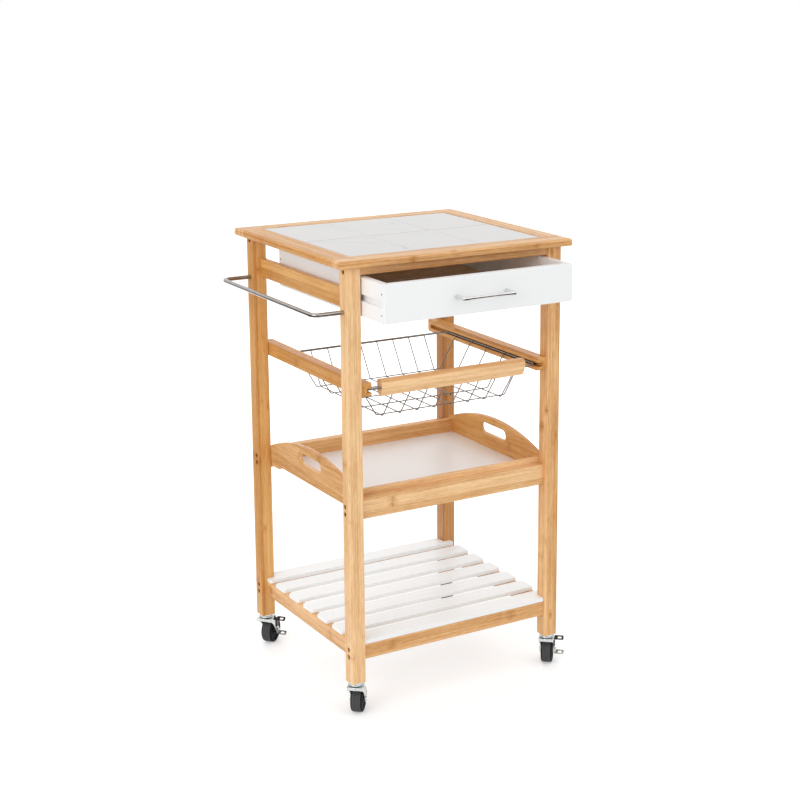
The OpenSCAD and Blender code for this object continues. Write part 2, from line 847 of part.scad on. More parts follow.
module tray_end_outline() {
    difference() {
        intersection() {
            translate([-tray_depth / 2, 0])
                square([tray_depth, tray_corner_height + tray_arch]);
            translate([0, tray_corner_height + tray_arch - arch_radius])
                circle(arch_radius, $fn = 360);
        }
        for (s = [-1, 1])
            translate([s * (slot_length - slot_height) / 2, slot_level])
                circle(d = slot_height);
        translate([0, slot_level])
            square([slot_length - slot_height, slot_height], center = true);
    }
}

module tray_end(x) {
    color(bamboo) place() corner(x, -1) translate([-tray_half, tray_mid, tray_level])
        rotate([90, 0, 90]) linear_extrude(tray_thick) tray_end_outline();
}

module tray_side(y) {
    color(bamboo) place() translate([0, tray_mid, 0])
        translate([0, y * (tray_depth - tray_thick) / 2, tray_level])
            bar_x(2 * (tray_half - tray_thick), tray_thick, tray_side_height, rail_edge);
}

module tray_floor() {
    half_x = tray_half - tray_thick;
    half_y = tray_depth / 2 - tray_thick;
    color(white) place() translate([-half_x, tray_mid - half_y, tray_level])
        cube([2 * half_x, 2 * half_y, tray_floor_thick]);
}

// ---- casters ----

// moves its child to a corner, with +X along the direction in which the caster trails
module at_caster(x, y) {
    heading = x < 0 && y > 0 ? back_left_heading : caster_heading;
    translate([x * leg_x, y * leg_y, 0]) rotate([0, 0, heading]) children();
}

module caster_mount() {
    translate([0, 0, caster_height]) {
        translate([0, 0, -mount_plate]) cylinder(h = mount_plate, d = leg_side - 1);
        cylinder(h = stem_length, d = stem_diameter);
    }
    translate([0, 0, fork_top + slide_gap]) rotate_extrude() {
        square([ring_r, mount_ring]);
        translate([ring_r, mount_ring / 2]) circle(mount_ring / 2);
    }
    translate([0, 0, fork_top - fork_sheet - slide_gap - pin_head]) {
        cylinder(h = fork_sheet + 2 * slide_gap + pin_head + eps, d = pin_diameter);
        cylinder(h = pin_head, d = pin_diameter + 4);
    }
}

module caster_mounts() {
    color(steel) place() for (x = [-1, 1], y = [-1, 1]) at_caster(x, y) caster_mount();
}

// side view of the fork: x runs along the trail, y is the height, the front is hollowed
module fork_side() {
    front = 0.5 - cap_diameter / 2;
    middle = [front - fork_hollow[0], wheel_r - fork_hollow[1]];
    r = norm([caster_trail - cheek_r, wheel_r] - middle);
    low = asin(fork_hollow[1] / r);
    high = acos(fork_hollow[0] / r);
    union() {
        polygon([for (k = [0 : 12])
                     let (a = low + (high - low) * k / 12) middle + r * [cos(a), sin(a)],
                 [front, fork_top], [-front, fork_top], [-front, fork_top - cap_depth],
                 [caster_trail + cheek_r - 4, fork_top - 16],
                 [caster_trail + cheek_r, wheel_r]]);
        translate([caster_trail, wheel_r]) circle(cheek_r);
    }
}

// round cap of the fork, with a rounded upper edge
module fork_cap() {
    r = cap_diameter / 2;
    translate([0, 0, fork_top - cap_depth]) rotate_extrude() {
        square([r - cap_round, cap_depth]);
        square([r, cap_depth - cap_round]);
        translate([r - cap_round, cap_depth - cap_round])
            intersection() {
                circle(cap_round);
                square(2 * cap_round);
            }
    }
}

// a stamped fork: a hollow cap and two cheeks that run down to the axle
module fork() {
    difference() {
        union() {
            fork_cap();
            rotate([90, 0, 0])
                linear_extrude(fork_outside, center = true) fork_side();
        }
        translate([-40, -fork_inside / 2, -1])
            cube([90, fork_inside, fork_top - cap_depth + 1]);
        intersection() {
            translate([0, 0, fork_top - cap_depth - 1])
                cylinder(h = cap_depth + 1 - fork_sheet,
                         d = cap_diameter - 2 * fork_sheet);
            translate([-40, -fork_inside / 2, 0])
                cube([80, fork_inside, fork_top]);
        }
        translate([0, 0, fork_top - fork_sheet - 1])
            cylinder(h = fork_sheet + 2, d = pin_diameter + 2 * running_fit);
        translate([caster_trail, 0, wheel_r]) rotate([90, 0, 0])
            cylinder(h = fork_outside + 2, d = axle_diameter + 2 * hole_gap,
                     center = true);
    }
}

// the riveted axle, longer on the side where it also carries a brake
module fork_axle(braked) {
    near = fork_outside / 2 + seat_gap;
    far = near + (braked ? brake_sheet + 2 * slide_gap : 0);
    translate([caster_trail, 0, wheel_r]) rotate([90, 0, 0]) {
        translate([0, 0, -near]) cylinder(h = near + far, d = axle_diameter);
        translate([0, 0, -near - axle_head])
            cylinder(h = axle_head, d = axle_diameter + 3);
        translate([0, 0, far]) cylinder(h = axle_head, d = axle_diameter + 3);
    }
}

module caster_fork(x, y, braked) {
    color(steel) place() at_caster(x, y) {
        fork();
        fork_axle(braked);
    }
}

// half section of the wheel: a ribbed tread, a web and a hub round the axle
module wheel_section() {
    half = wheel_width / 2;
    bore = axle_diameter / 2 + running_fit;
    side = wheel_r - wheel_edge;
    difference() {
        union() {
            translate([bore, -half]) square([side - bore, wheel_width]);
            translate([bore, -half + wheel_edge])
                square([wheel_r - bore, wheel_width - 2 * wheel_edge]);
            for (s = [-1, 1]) translate([side, s * (half - wheel_edge)]) circle(wheel_edge);
        }
        for (s = [-1, 1]) translate([(side + 7) / 2, s * half])
            square([side - 10, 5], center = true);
    }
}

module caster_wheel(x, y) {
    color(black) place() at_caster(x, y) translate([caster_trail, 0, wheel_r])
        rotate([90, 0, 0]) rotate_extrude($fn = 72) wheel_section();
}

// a tab of the brake with a slot in it, bent outwards and tilted for the foot
module brake_tab() {
    rotate([0, -brake_tilt, 0]) linear_extrude(brake_sheet) difference() {
        translate([0, -brake_reach / 2 - brake_sheet])
            rounded_rect(brake_width, brake_reach + 2 * brake_sheet, brake_corner);
        translate([0, -brake_reach / 2 - 2 * brake_sheet])
            rounded_rect(brake_width / 2, brake_reach / 2, 1);
    }
}

// rocker of the wheel brake: a plate on the axle with one tab above and one below
module brake(x, y) {
    color(steel) place() at_caster(x, y)
        translate([caster_trail, -brake_side, wheel_r]) {
            rotate([90, 0, 0]) linear_extrude(brake_sheet) difference() {
                union() {
                    circle(7);
                    translate([-4, 0]) square([8, brake_up + brake_sheet]);
                    translate([brake_shift - 3.5, -brake_down]) square([7, brake_down]);
                }
                circle(d = axle_diameter + 2 * running_fit);
            }
            translate([0, 0, brake_up]) brake_tab();
            translate([brake_shift, 0, -brake_down]) brake_tab();
        }
}

// ---- the nodes ----

leg(-1, -1);  // leg_front_left
leg(1, -1);  // leg_front_right
leg(-1, 1);  // leg_back_left
leg(1, 1);  // leg_back_right
cross_rail(-1, apron_level, apron_height);  // apron_front
cross_rail(1, apron_level, apron_height);  // apron_back
side_rail(-1);  // side_rail_left
side_rail(1);  // side_rail_right
runner(-1);  // runner_left
runner(1);  // runner_right
guide(-1);  // guide_left
guide(1);  // guide_right
tray_rail(-1);  // tray_rail_front
tray_rail(1);  // tray_rail_back
cross_rail(-1, base_rail_level, base_rail_height);  // base_rail_front
cross_rail(1, base_rail_level, base_rail_height);  // base_rail_back
base_side_rail(-1);  // base_rail_left
base_side_rail(1);  // base_rail_right
for (k = [1 : slat_count])
    slat(k - 1);
top_cross_rail(-top_front, -open_front);  // top_rail_front
top_cross_rail(open_back, top_back);  // top_rail_back
top_side_rail(-1);  // top_rail_left
top_side_rail(1);  // top_rail_right
top_board();
top_grout();
top_tiles();
towel_rail();
frame_bolts();
drawer_front();
drawer_side(-1);  // drawer_side_left
drawer_side(1);  // drawer_side_right
drawer_back();
drawer_bottom();
drawer_handle();
drawer_screws();
basket_frame();
basket_grip();
tray_end(-1);  // tray_end_left
tray_end(1);  // tray_end_right
tray_side(-1);  // tray_front
tray_side(1);  // tray_back
tray_floor();
caster_mounts();
caster_fork(-1, -1, false);  // fork_front_left
caster_fork(1, -1, true);  // fork_front_right
caster_fork(-1, 1, true);  // fork_back_left
caster_fork(1, 1, false);  // fork_back_right
caster_wheel(-1, -1);  // wheel_front_left
caster_wheel(1, -1);  // wheel_front_right
caster_wheel(-1, 1);  // wheel_back_left
caster_wheel(1, 1);  // wheel_back_right
brake(1, -1);  // brake_front_right
brake(-1, 1);  // brake_back_left
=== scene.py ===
import json
import math

import bmesh
import bpy
from mathutils import Matrix, Vector

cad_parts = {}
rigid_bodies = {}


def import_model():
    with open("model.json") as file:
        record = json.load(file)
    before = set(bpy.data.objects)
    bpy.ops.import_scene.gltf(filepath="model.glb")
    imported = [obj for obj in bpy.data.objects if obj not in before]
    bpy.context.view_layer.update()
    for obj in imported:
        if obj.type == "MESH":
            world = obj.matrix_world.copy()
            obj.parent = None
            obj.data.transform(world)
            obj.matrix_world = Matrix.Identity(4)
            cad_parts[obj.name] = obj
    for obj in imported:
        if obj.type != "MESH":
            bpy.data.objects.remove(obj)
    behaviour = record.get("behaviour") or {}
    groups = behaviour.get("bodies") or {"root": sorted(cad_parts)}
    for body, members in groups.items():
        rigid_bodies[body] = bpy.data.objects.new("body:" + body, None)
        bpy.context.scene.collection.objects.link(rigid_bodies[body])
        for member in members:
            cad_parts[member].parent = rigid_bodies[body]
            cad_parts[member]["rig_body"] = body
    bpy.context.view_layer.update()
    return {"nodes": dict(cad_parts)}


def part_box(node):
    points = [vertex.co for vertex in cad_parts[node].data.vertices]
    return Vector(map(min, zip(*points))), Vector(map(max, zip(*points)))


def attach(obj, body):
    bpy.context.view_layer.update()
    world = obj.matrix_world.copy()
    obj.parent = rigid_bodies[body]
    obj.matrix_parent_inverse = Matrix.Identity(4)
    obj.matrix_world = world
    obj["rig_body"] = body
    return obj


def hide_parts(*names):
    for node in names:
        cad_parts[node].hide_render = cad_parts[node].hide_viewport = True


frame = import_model()
nodes = frame["nodes"]
scene = bpy.context.scene
print("frame loaded,", len(nodes), "nodes")


def low(name):
    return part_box(name)[0]


def high(name):
    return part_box(name)[1]


# the cart's own middle, between the four legs
cartMiddle = Vector((
    (low("leg_front_left").x + high("leg_front_right").x) / 2,
    (low("leg_front_left").y + high("leg_back_left").y) / 2,
    0,
))


# node trees

def addNode(tree, kind, inputs=None, **settings):
    node = tree.nodes.new(kind)
    for key, value in settings.items():
        setattr(node, key, value)
    for key, value in (inputs or {}).items():
        if isinstance(value, bpy.types.NodeSocket):
            tree.links.new(value, node.inputs[key])
        else:
            node.inputs[key].default_value = value
    return node


def math2(tree, operation, a, b=0.0, c=0.0):
    node = addNode(tree, "ShaderNodeMath", {0: a, 1: b, 2: c}, operation=operation)
    return node.outputs[0]


def remap(tree, value, fromLow, fromHigh, toLow=0.0, toHigh=1.0):
    node = addNode(tree, "ShaderNodeMapRange",
                   {"Value": value, "From Min": fromLow, "From Max": fromHigh,
                    "To Min": toLow, "To Max": toHigh})
    return node.outputs[0]


def mixColour(tree, factor, a, b, blend="MIX"):
    node = tree.nodes.new("ShaderNodeMix")
    node.data_type = "RGBA"
    node.blend_type = blend
    for socket, value in ((node.inputs[0], factor), (node.inputs[6], a), (node.inputs[7], b)):
        if isinstance(value, bpy.types.NodeSocket):
            tree.links.new(value, socket)
        else:
            socket.default_value = value
    return node.outputs[2]


def newGroup(name, inputs, outputs, kind="ShaderNodeTree"):
    group = bpy.data.node_groups.new(name, kind)
    for label, socketType, value in inputs:
        socket = group.interface.new_socket(label, in_out="INPUT", socket_type=socketType)
        if value is not None:
            socket.default_value = value
    for label, socketType in outputs:
        group.interface.new_socket(label, in_out="OUTPUT", socket_type=socketType)
    start = group.nodes.new("NodeGroupInput")
    end = group.nodes.new("NodeGroupOutput")
    return group, start, end


def scaled(tree, vector, x, y, z):
    return addNode(tree, "ShaderNodeVectorMath", {0: vector, 1: (x, y, z)},
                   operation="MULTIPLY").outputs[0]


def noise(tree, vector, scale, detail=2.0, roughness=0.5, distortion=0.0):
    node = addNode(tree, "ShaderNodeTexNoise",
                   {"Vector": vector, "Scale": scale, "Detail": detail,
                    "Roughness": roughness, "Distortion": distortion})
    return node.outputs["Fac"]


# effects that several materials share

# repeats per metre along and across the fibres, and each effect's share in the tone
bambooPattern = {
    "fibre": (9, 380, 0.30),
    "streak": (3.5, 130, 0.26),
    "broad": (9, 30, 0.20),
    "pores": (45, 1500, 0.14),
    "flecks": (60, 650, 0.12),
    "wave": (40, 260, 0.007),
    "patches": (90, 420),
    "strip": 0.40,
    "seam": 0.16,
    "seamEdge": (0.44, 0.5),
    "stripDepth": 2.7,
    "tone": (0.20, 0.98),
    "knuckleLine": (0.0020, 0.0004, 0.55),
    "knuckleHalo": (0.013, 0.001, 0.75),
    "darkest": 1.15,
    "poreColour": (0.25, 0.09, 0.025, 1),
    "roughness": (0.30, 0.46),
}


# laminated bamboo: strips side by side, fine fibres, dark pores and the knuckles of the cane
def makeBambooGroup():
    tree, start, end = newGroup(
        "bambooGrain",
        [("Vector", "NodeSocketVector", None), ("Strip Width", "NodeSocketFloat", 0.007),
         ("Knuckle Spacing", "NodeSocketFloat", 0.24), ("Light", "NodeSocketColor", None),
         ("Dark", "NodeSocketColor", None)],
        [("Color", "NodeSocketColor"), ("Roughness", "NodeSocketFloat"),
         ("Height", "NodeSocketFloat")])
    vector = start.outputs["Vector"]
    width = start.outputs["Strip Width"]
    look = bambooPattern

    def grainNoise(effect, detail=2.0, roughness=0.5):
        run, cross = look[effect][:2]
        return noise(tree, scaled(tree, vector, run, cross, cross), 1.0, detail, roughness)

    def times(a, b):
        return math2(tree, "MULTIPLY", a, b)

    def plus(a, b):
        return math2(tree, "ADD", a, b)

    parts = addNode(tree, "ShaderNodeSeparateXYZ", {0: vector})
    along, across, deep = parts.outputs[0], parts.outputs[1], parts.outputs[2]
    place = math2(tree, "DIVIDE", across, width)
    cellA = math2(tree, "FLOOR", place)
    layer = math2(tree, "DIVIDE", deep, times(width, look["stripDepth"]))
    cellB = math2(tree, "FLOOR", layer)
    seam = math2(tree, "ABSOLUTE", math2(tree, "SUBTRACT", math2(tree, "FRACT", place), 0.5))
    seam = remap(tree, seam, *look["seamEdge"])
    cell = addNode(tree, "ShaderNodeCombineXYZ", {0: cellA, 1: cellB, 2: 3.7}).outputs[0]
    dice = addNode(tree, "ShaderNodeTexWhiteNoise", {"Vector": cell}, noise_dimensions="3D")
    stripTone = dice.outputs["Value"]

    fibre = remap(tree, grainNoise("fibre", 3.0, 0.6), 0.34, 0.66)
    streak = remap(tree, grainNoise("streak"), 0.34, 0.66)
    broad = remap(tree, grainNoise("broad"), 0.3, 0.7)
    pores = remap(tree, grainNoise("pores", 1.0), 0.62, 0.74)
    fleckShare = look["flecks"][2]
    flecks = remap(tree, grainNoise("flecks", 2.0, 0.55), 0.36, 0.64, -fleckShare, fleckShare)

    # knuckles: each strip has its own places, some strong and some faint, on a wavy line
    spacing = start.outputs["Knuckle Spacing"]
    wave = times(grainNoise("wave"), look["wave"][2])
    shifted = plus(plus(along, wave), times(stripTone, times(spacing, 7.0)))
    count = math2(tree, "DIVIDE", shifted, spacing)
    own = addNode(tree, "ShaderNodeCombineXYZ",
                  {0: cellA, 1: math2(tree, "FLOOR", count), 2: cellB}).outputs[0]
    strength = addNode(tree, "ShaderNodeTexWhiteNoise", {"Vector": own},
                       noise_dimensions="3D").outputs["Value"]
    strength = times(strength, strength)
    centred = math2(tree, "SUBTRACT", math2(tree, "FRACT", count), 0.5)
    away = times(math2(tree, "ABSOLUTE", centred), spacing)
    patchy = remap(tree, grainNoise("patches"), 0.3, 0.6)
    lineFar, lineNear, lineShare = look["knuckleLine"]
    haloFar, haloNear, haloShare = look["knuckleHalo"]
    line = times(times(remap(tree, away, lineFar, lineNear), patchy), strength)
    halo = times(remap(tree, away, haloFar, haloNear), strength)
    halo = times(halo, remap(tree, patchy, 0.0, 1.0, 0.35, 1.0))

    tone = plus(times(fibre, look["fibre"][2]), times(streak, look["streak"][2]))
    tone = plus(tone, times(stripTone, look["strip"]))
    tone = plus(tone, times(broad, look["broad"][2]))
    tone = plus(tone, times(seam, look["seam"]))
    tone = remap(tree, plus(tone, flecks), *look["tone"])
    tone = math2(tree, "MINIMUM", plus(tone, times(halo, haloShare)), look["darkest"])
    colour = mixColour(tree, tone, start.outputs["Light"], start.outputs["Dark"])
    marks = math2(tree, "MAXIMUM", times(pores, look["pores"][2]), times(line, lineShare))
    colour = mixColour(tree, marks, colour, look["poreColour"])
    height = math2(tree, "SUBTRACT", times(fibre, 0.5), times(pores, 0.5))
    height = plus(height, times(line, 0.8))
    tree.links.new(colour, end.inputs["Color"])
    tree.links.new(remap(tree, fibre, 0.2, 0.8, *look["roughness"]), end.inputs["Roughness"])
    tree.links.new(height, end.inputs["Height"])
    return tree


smearPattern = {
    "patches": (0.45, 0.75),
    "scratches": (0.66, 0.72),
    "scratchStretch": (4, 70, 9),
}


# handling marks: soft smears and fine scratches, as a mask
def makeSmearGroup():
    tree, start, end = newGroup(
        "smears",
        [("Vector", "NodeSocketVector", None), ("Size", "NodeSocketFloat", 0.03),
         ("Amount", "NodeSocketFloat", 0.5)],
        [("Mask", "NodeSocketFloat"), ("Scratches", "NodeSocketFloat")])
    grown = addNode(tree, "ShaderNodeVectorMath",
                    {0: start.outputs["Vector"],
                     "Scale": math2(tree, "DIVIDE", 1.0, start.outputs["Size"])},
                    operation="SCALE").outputs[0]
    smear = remap(tree, noise(tree, grown, 1.0, 4.0, 0.6, 0.4), *smearPattern["patches"])
    smear = math2(tree, "MULTIPLY", smear, start.outputs["Amount"])
    fine = noise(tree, scaled(tree, grown, *smearPattern["scratchStretch"]), 1.0, 1.0)
    scratch = math2(tree, "MULTIPLY", remap(tree, fine, *smearPattern["scratches"]),
                    start.outputs["Amount"])
    tree.links.new(smear, end.inputs["Mask"])
    tree.links.new(scratch, end.inputs["Scratches"])
    return tree


brushPattern = {
    "alongStroke": 9.0,
    "acrossStroke": 260.0,
    "ripple": 0.7,
    "peel": 0.3,
    "peelScale": 420.0,
    "toneScale": 14.0,
}


# brushed coat of paint: low ripples along the strokes and a fine grain
def makePaintGroup():
    tree, start, end = newGroup(
        "brushedCoat",
        [("Vector", "NodeSocketVector", None),
         ("Stroke", "NodeSocketFloat", brushPattern["acrossStroke"])],
        [("Height", "NodeSocketFloat"), ("Tone", "NodeSocketFloat")])
    vector = start.outputs["Vector"]
    stroke = start.outputs["Stroke"]
    stretched = addNode(tree, "ShaderNodeCombineXYZ",
                        {0: brushPattern["alongStroke"], 1: stroke, 2: stroke}).outputs[0]
    lines = noise(tree, addNode(tree, "ShaderNodeVectorMath", {0: vector, 1: stretched},
                                operation="MULTIPLY").outputs[0], 1.0, 2.0)
    peel = noise(tree, vector, brushPattern["peelScale"], 2.0)
    height = math2(tree, "ADD", math2(tree, "MULTIPLY", lines, brushPattern["ripple"]),
                   math2(tree, "MULTIPLY", peel, brushPattern["peel"]))
    tree.links.new(height, end.inputs["Height"])
    tree.links.new(noise(tree, vector, brushPattern["toneScale"], 3.0), end.inputs["Tone"])
    return tree


bambooGrain = makeBambooGroup()
smears = makeSmearGroup()
brushedCoat = makePaintGroup()


# materials

def newMaterial(name):
    material = bpy.data.materials.new(name)
    material.use_nodes = True
    tree = material.node_tree
    tree.nodes.clear()
    output = tree.nodes.new("ShaderNodeOutputMaterial")
    shader = tree.nodes.new("ShaderNodeBsdfPrincipled")
    tree.links.new(shader.outputs[0], output.inputs[0])
    place = addNode(tree, "ShaderNodeTexCoord").outputs["Object"]
    return material, tree, shader, place


def useGroup(tree, group, inputs):
    return addNode(tree, "ShaderNodeGroup", inputs, node_tree=group)


def bumpFrom(tree, shader, height, strength, distance):
    bump = addNode(tree, "ShaderNodeBump",
                   {"Height": height, "Strength": strength, "Distance": distance})
    tree.links.new(bump.outputs[0], shader.inputs["Normal"])


bambooTones = {
    "frame": {"light": (0.92, 0.575, 0.275, 1), "dark": (0.56, 0.25, 0.065, 1)},
    # the next tone is a lighter copy of the frame tone: painted light on the front pieces that
    # face the lamps
    "paintedLitTone": {"light": (0.98, 0.67, 0.37, 1), "dark": (0.66, 0.34, 0.12, 1)},
    # the next two tones are darker, more orange copies of the frame tone: painted shade and
    # painted bounce light from the wood, the second one the darkest
    "paintedShadeTone": {"light": (0.82, 0.46, 0.16, 1), "dark": (0.55, 0.235, 0.05, 1)},
    "deep": {"light": (0.66, 0.33, 0.115, 1), "dark": (0.42, 0.165, 0.04, 1)},
    "stripWidth": 0.0072,
    "knuckleSpacing": 0.26,
    "bump": 0.5,
    "bumpDepth": 0.00012,
    "specular": 0.35,
    "lacquer": 0.12,
    "lacquerRoughness": 0.22,
}


# grain is the axis that the fibres follow; it becomes the first coordinate
def turnedToGrain(tree, place, grain):
    parts = addNode(tree, "ShaderNodeSeparateXYZ", {0: place}).outputs
    order = {"X": (0, 1, 2), "Y": (1, 0, 2), "Z": (2, 0, 1)}[grain]
    return addNode(tree, "ShaderNodeCombineXYZ",
                   {i: parts[order[i]] for i in range(3)}).outputs[0]


def makeBamboo(name, tone, grain):
    material, tree, shader, place = newMaterial(name)
    grainNode = useGroup(tree, bambooGrain, {
        "Vector": turnedToGrain(tree, place, grain), "Strip Width": bambooTones["stripWidth"],
        "Knuckle Spacing": bambooTones["knuckleSpacing"],
        "Light": bambooTones[tone]["light"], "Dark": bambooTones[tone]["dark"]})
    tree.links.new(grainNode.outputs["Color"], shader.inputs["Base Color"])
    tree.links.new(grainNode.outputs["Roughness"], shader.inputs["Roughness"])
    bumpFrom(tree, shader, grainNode.outputs["Height"], bambooTones["bump"],
             bambooTones["bumpDepth"])
    shader.inputs["Specular IOR Level"].default_value = bambooTones["specular"]
    shader.inputs["Coat Weight"].default_value = bambooTones["lacquer"]
    shader.inputs["Coat Roughness"].default_value = bambooTones["lacquerRoughness"]
    return material


paint = {
    "white": ((0.92, 0.93, 0.935, 1), (0.89, 0.90, 0.905, 1)),
    # a brighter, bluer copy of the white paint: painted light that lifts the tray floor out of
    # its shade and cancels the warm bounce from the bamboo
    "paintedLitWhiteTone": ((0.93, 0.965, 0.99, 1), (0.90, 0.935, 0.965, 1)),
    "roughness": (0.33, 0.48),
    "smearSize": 0.05,
    "smearAmount": 0.6,
    "bump": 0.35,
    "bumpDepth": 0.00012,
}


def makePaint(name, tone, grain):
    material, tree, shader, place = newMaterial(name)
    coat = useGroup(tree, brushedCoat, {"Vector": turnedToGrain(tree, place, grain)})
    marks = useGroup(tree, smears, {"Vector": place, "Size": paint["smearSize"],
                                    "Amount": paint["smearAmount"]})
    tree.links.new(mixColour(tree, coat.outputs["Tone"], *paint[tone]),
                   shader.inputs["Base Color"])
    tree.links.new(remap(tree, marks.outputs["Mask"], 0, 1, *paint["roughness"]),
                   shader.inputs["Roughness"])
    bumpFrom(tree, shader, coat.outputs["Height"], paint["bump"], paint["bumpDepth"])
    return material


tiles = {
    "columns": 3,
    "rows": 2,
    "joint": 0.003,
    "light": (0.62, 0.61, 0.595, 1),
    "dark": (0.575, 0.565, 0.555, 1),
    "vein": (0.25, 0.25, 0.255, 1),
    "veinEdge": (0.0075, 0.0008),
    "veinStretch": (1.6, 6.5, 1.0),
    "veinStrength": 0.5,
    "veinLean": 0.7,
    "veinGaps": (0.44, 0.62),
    "shuffle": 4.0,
    "warp": 0.12,
    "roughness": (0.05, 0.11),
    "smearSize": 0.04,
    "smearAmount": 0.5,
}


# glazed tile with thin grey veins that differ from tile to tile
def makeTile(name):
    material, tree, shader, place = newMaterial(name)
    size = high("top_tiles") - low("top_tiles")
    corner = low("top_tiles")
    moved = addNode(tree, "ShaderNodeVectorMath", {0: place, 1: tuple(corner)},
                    operation="SUBTRACT").outputs[0]
    cells = scaled(tree, moved, tiles["columns"] / (size.x + tiles["joint"]),
                   tiles["rows"] / (size.y + tiles["joint"]), 0.0)
    cells = addNode(tree, "ShaderNodeVectorMath", {0: cells}, operation="FLOOR").outputs[0]
    dice = addNode(tree, "ShaderNodeTexWhiteNoise", {"Vector": cells}, noise_dimensions="3D")
    offset = addNode(tree, "ShaderNodeVectorMath",
                     {0: dice.outputs["Color"], "Scale": tiles["shuffle"]},
                     operation="SCALE").outputs[0]
    vector = addNode(tree, "ShaderNodeVectorMath", {0: place, 1: offset},
                     operation="ADD").outputs[0]
    warp = addNode(tree, "ShaderNodeTexNoise", {"Vector": vector, "Scale": 7.0, "Detail": 3.0})
    bent = addNode(tree, "ShaderNodeVectorMath",
                   {0: warp.outputs["Color"], "Scale": tiles["warp"]},
                   operation="SCALE").outputs[0]
    bent = addNode(tree, "ShaderNodeVectorMath", {0: vector, 1: bent},
                   operation="ADD").outputs[0]
    lean = addNode(tree, "ShaderNodeVectorRotate",
                   {"Vector": bent, "Angle": tiles["veinLean"]})
    ridge = noise(tree, scaled(tree, lean.outputs[0], *tiles["veinStretch"]), 1.0, 3.0, 0.45)
    vein = remap(tree, math2(tree, "ABSOLUTE", math2(tree, "SUBTRACT", ridge, 0.5)),
                 *tiles["veinEdge"])
    fade = remap(tree, noise(tree, vector, 8.0, 2.0), *tiles["veinGaps"])
    cloud = noise(tree, bent, 11.0, 4.0)
    base = mixColour(tree, cloud, tiles["light"], tiles["dark"])
    share = math2(tree, "MULTIPLY", math2(tree, "MULTIPLY", vein, fade),
                  tiles["veinStrength"])
    tree.links.new(mixColour(tree, share, base, tiles["vein"]), shader.inputs["Base Color"])
    marks = useGroup(tree, smears, {"Vector": place, "Size": tiles["smearSize"],
                                    "Amount": tiles["smearAmount"]})
    tree.links.new(remap(tree, marks.outputs["Mask"], 0, 1, *tiles["roughness"]),
                   shader.inputs["Roughness"])
    return material


grout = {
    "light": (0.86, 0.86, 0.85, 1),
    "dark": (0.74, 0.74, 0.73, 1),
    "grain": 900.0,
    "roughness": 0.8,
    "bump": 0.5,
    "bumpDepth": 0.0002,
}


def makeGrout(name):
    material, tree, shader, place = newMaterial(name)
    grain = noise(tree, place, grout["grain"], 3.0)
    tree.links.new(mixColour(tree, grain, grout["light"], grout["dark"]),
                   shader.inputs["Base Color"])
    shader.inputs["Roughness"].default_value = grout["roughness"]
    bumpFrom(tree, shader, grain, grout["bump"], grout["bumpDepth"])
    return material


metals = {
    "chrome": {"colour": (0.78, 0.77, 0.76), "roughness": (0.04, 0.14), "smears": 0.02},
    # the towel rail's metal is darker and browner than the chrome: painted reflection of the
    # wood and the dim room
    "railChrome": {"colour": (0.46, 0.43, 0.41), "roughness": (0.05, 0.15), "smears": 0.02},
    # the basket wires' metal is much darker than the chrome: painted reflection of the dim
    # room around the cart
    "wireChrome": {"colour": (0.31, 0.30, 0.29), "roughness": (0.08, 0.20), "smears": 0.02},
    "brightZinc": {"colour": (0.66, 0.70, 0.70), "roughness": (0.10, 0.26),
                   "smears": 0.008, "brushed": 0.12},
    "bronzeBolts": {"colour": (0.34, 0.20, 0.11), "roughness": (0.30, 0.50),
                    "smears": 0.004, "brushed": 0.2},
}
smearDimming = 0.82


def makeMetal(name, metal):
    material, tree, shader, place = newMaterial(name)
    marks = useGroup(tree, smears, {"Vector": place, "Size": metal["smears"], "Amount": 1.0})
    dim = tuple(smearDimming * c for c in metal["colour"]) + (1,)
    tree.links.new(mixColour(tree, marks.outputs["Mask"], metal["colour"] + (1,), dim),
                   shader.inputs["Base Color"])
    blotch = math2(tree, "MAXIMUM", marks.outputs["Mask"], marks.outputs["Scratches"])
    tree.links.new(remap(tree, blotch, 0, 1, *metal["roughness"]),
                   shader.inputs["Roughness"])
    shader.inputs["Metallic"].default_value = 1.0
    if "brushed" in metal:
        bumpFrom(tree, shader, noise(tree, place, 1300.0, 2.0), metal["brushed"], 0.0001)
    return material


wheels = {
    "heading": math.radians(50),
    "backLeftHeading": math.radians(40),
    "side": (0.004, 0.004, 0.0045, 1),
    "sideScuffed": (0.009, 0.009, 0.009, 1),
    "tread": (0.030, 0.030, 0.031, 1),
    "treadWorn": (0.105, 0.105, 0.108, 1),
    "treadEdge": (0.55, 0.15),
    "streaks": 900.0,
    "roughness": (0.50, 0.62),
    "specular": 0.12,
    "grain": 1400.0,
    "bump": 0.4,
    "bumpDepth": 0.00015,
}


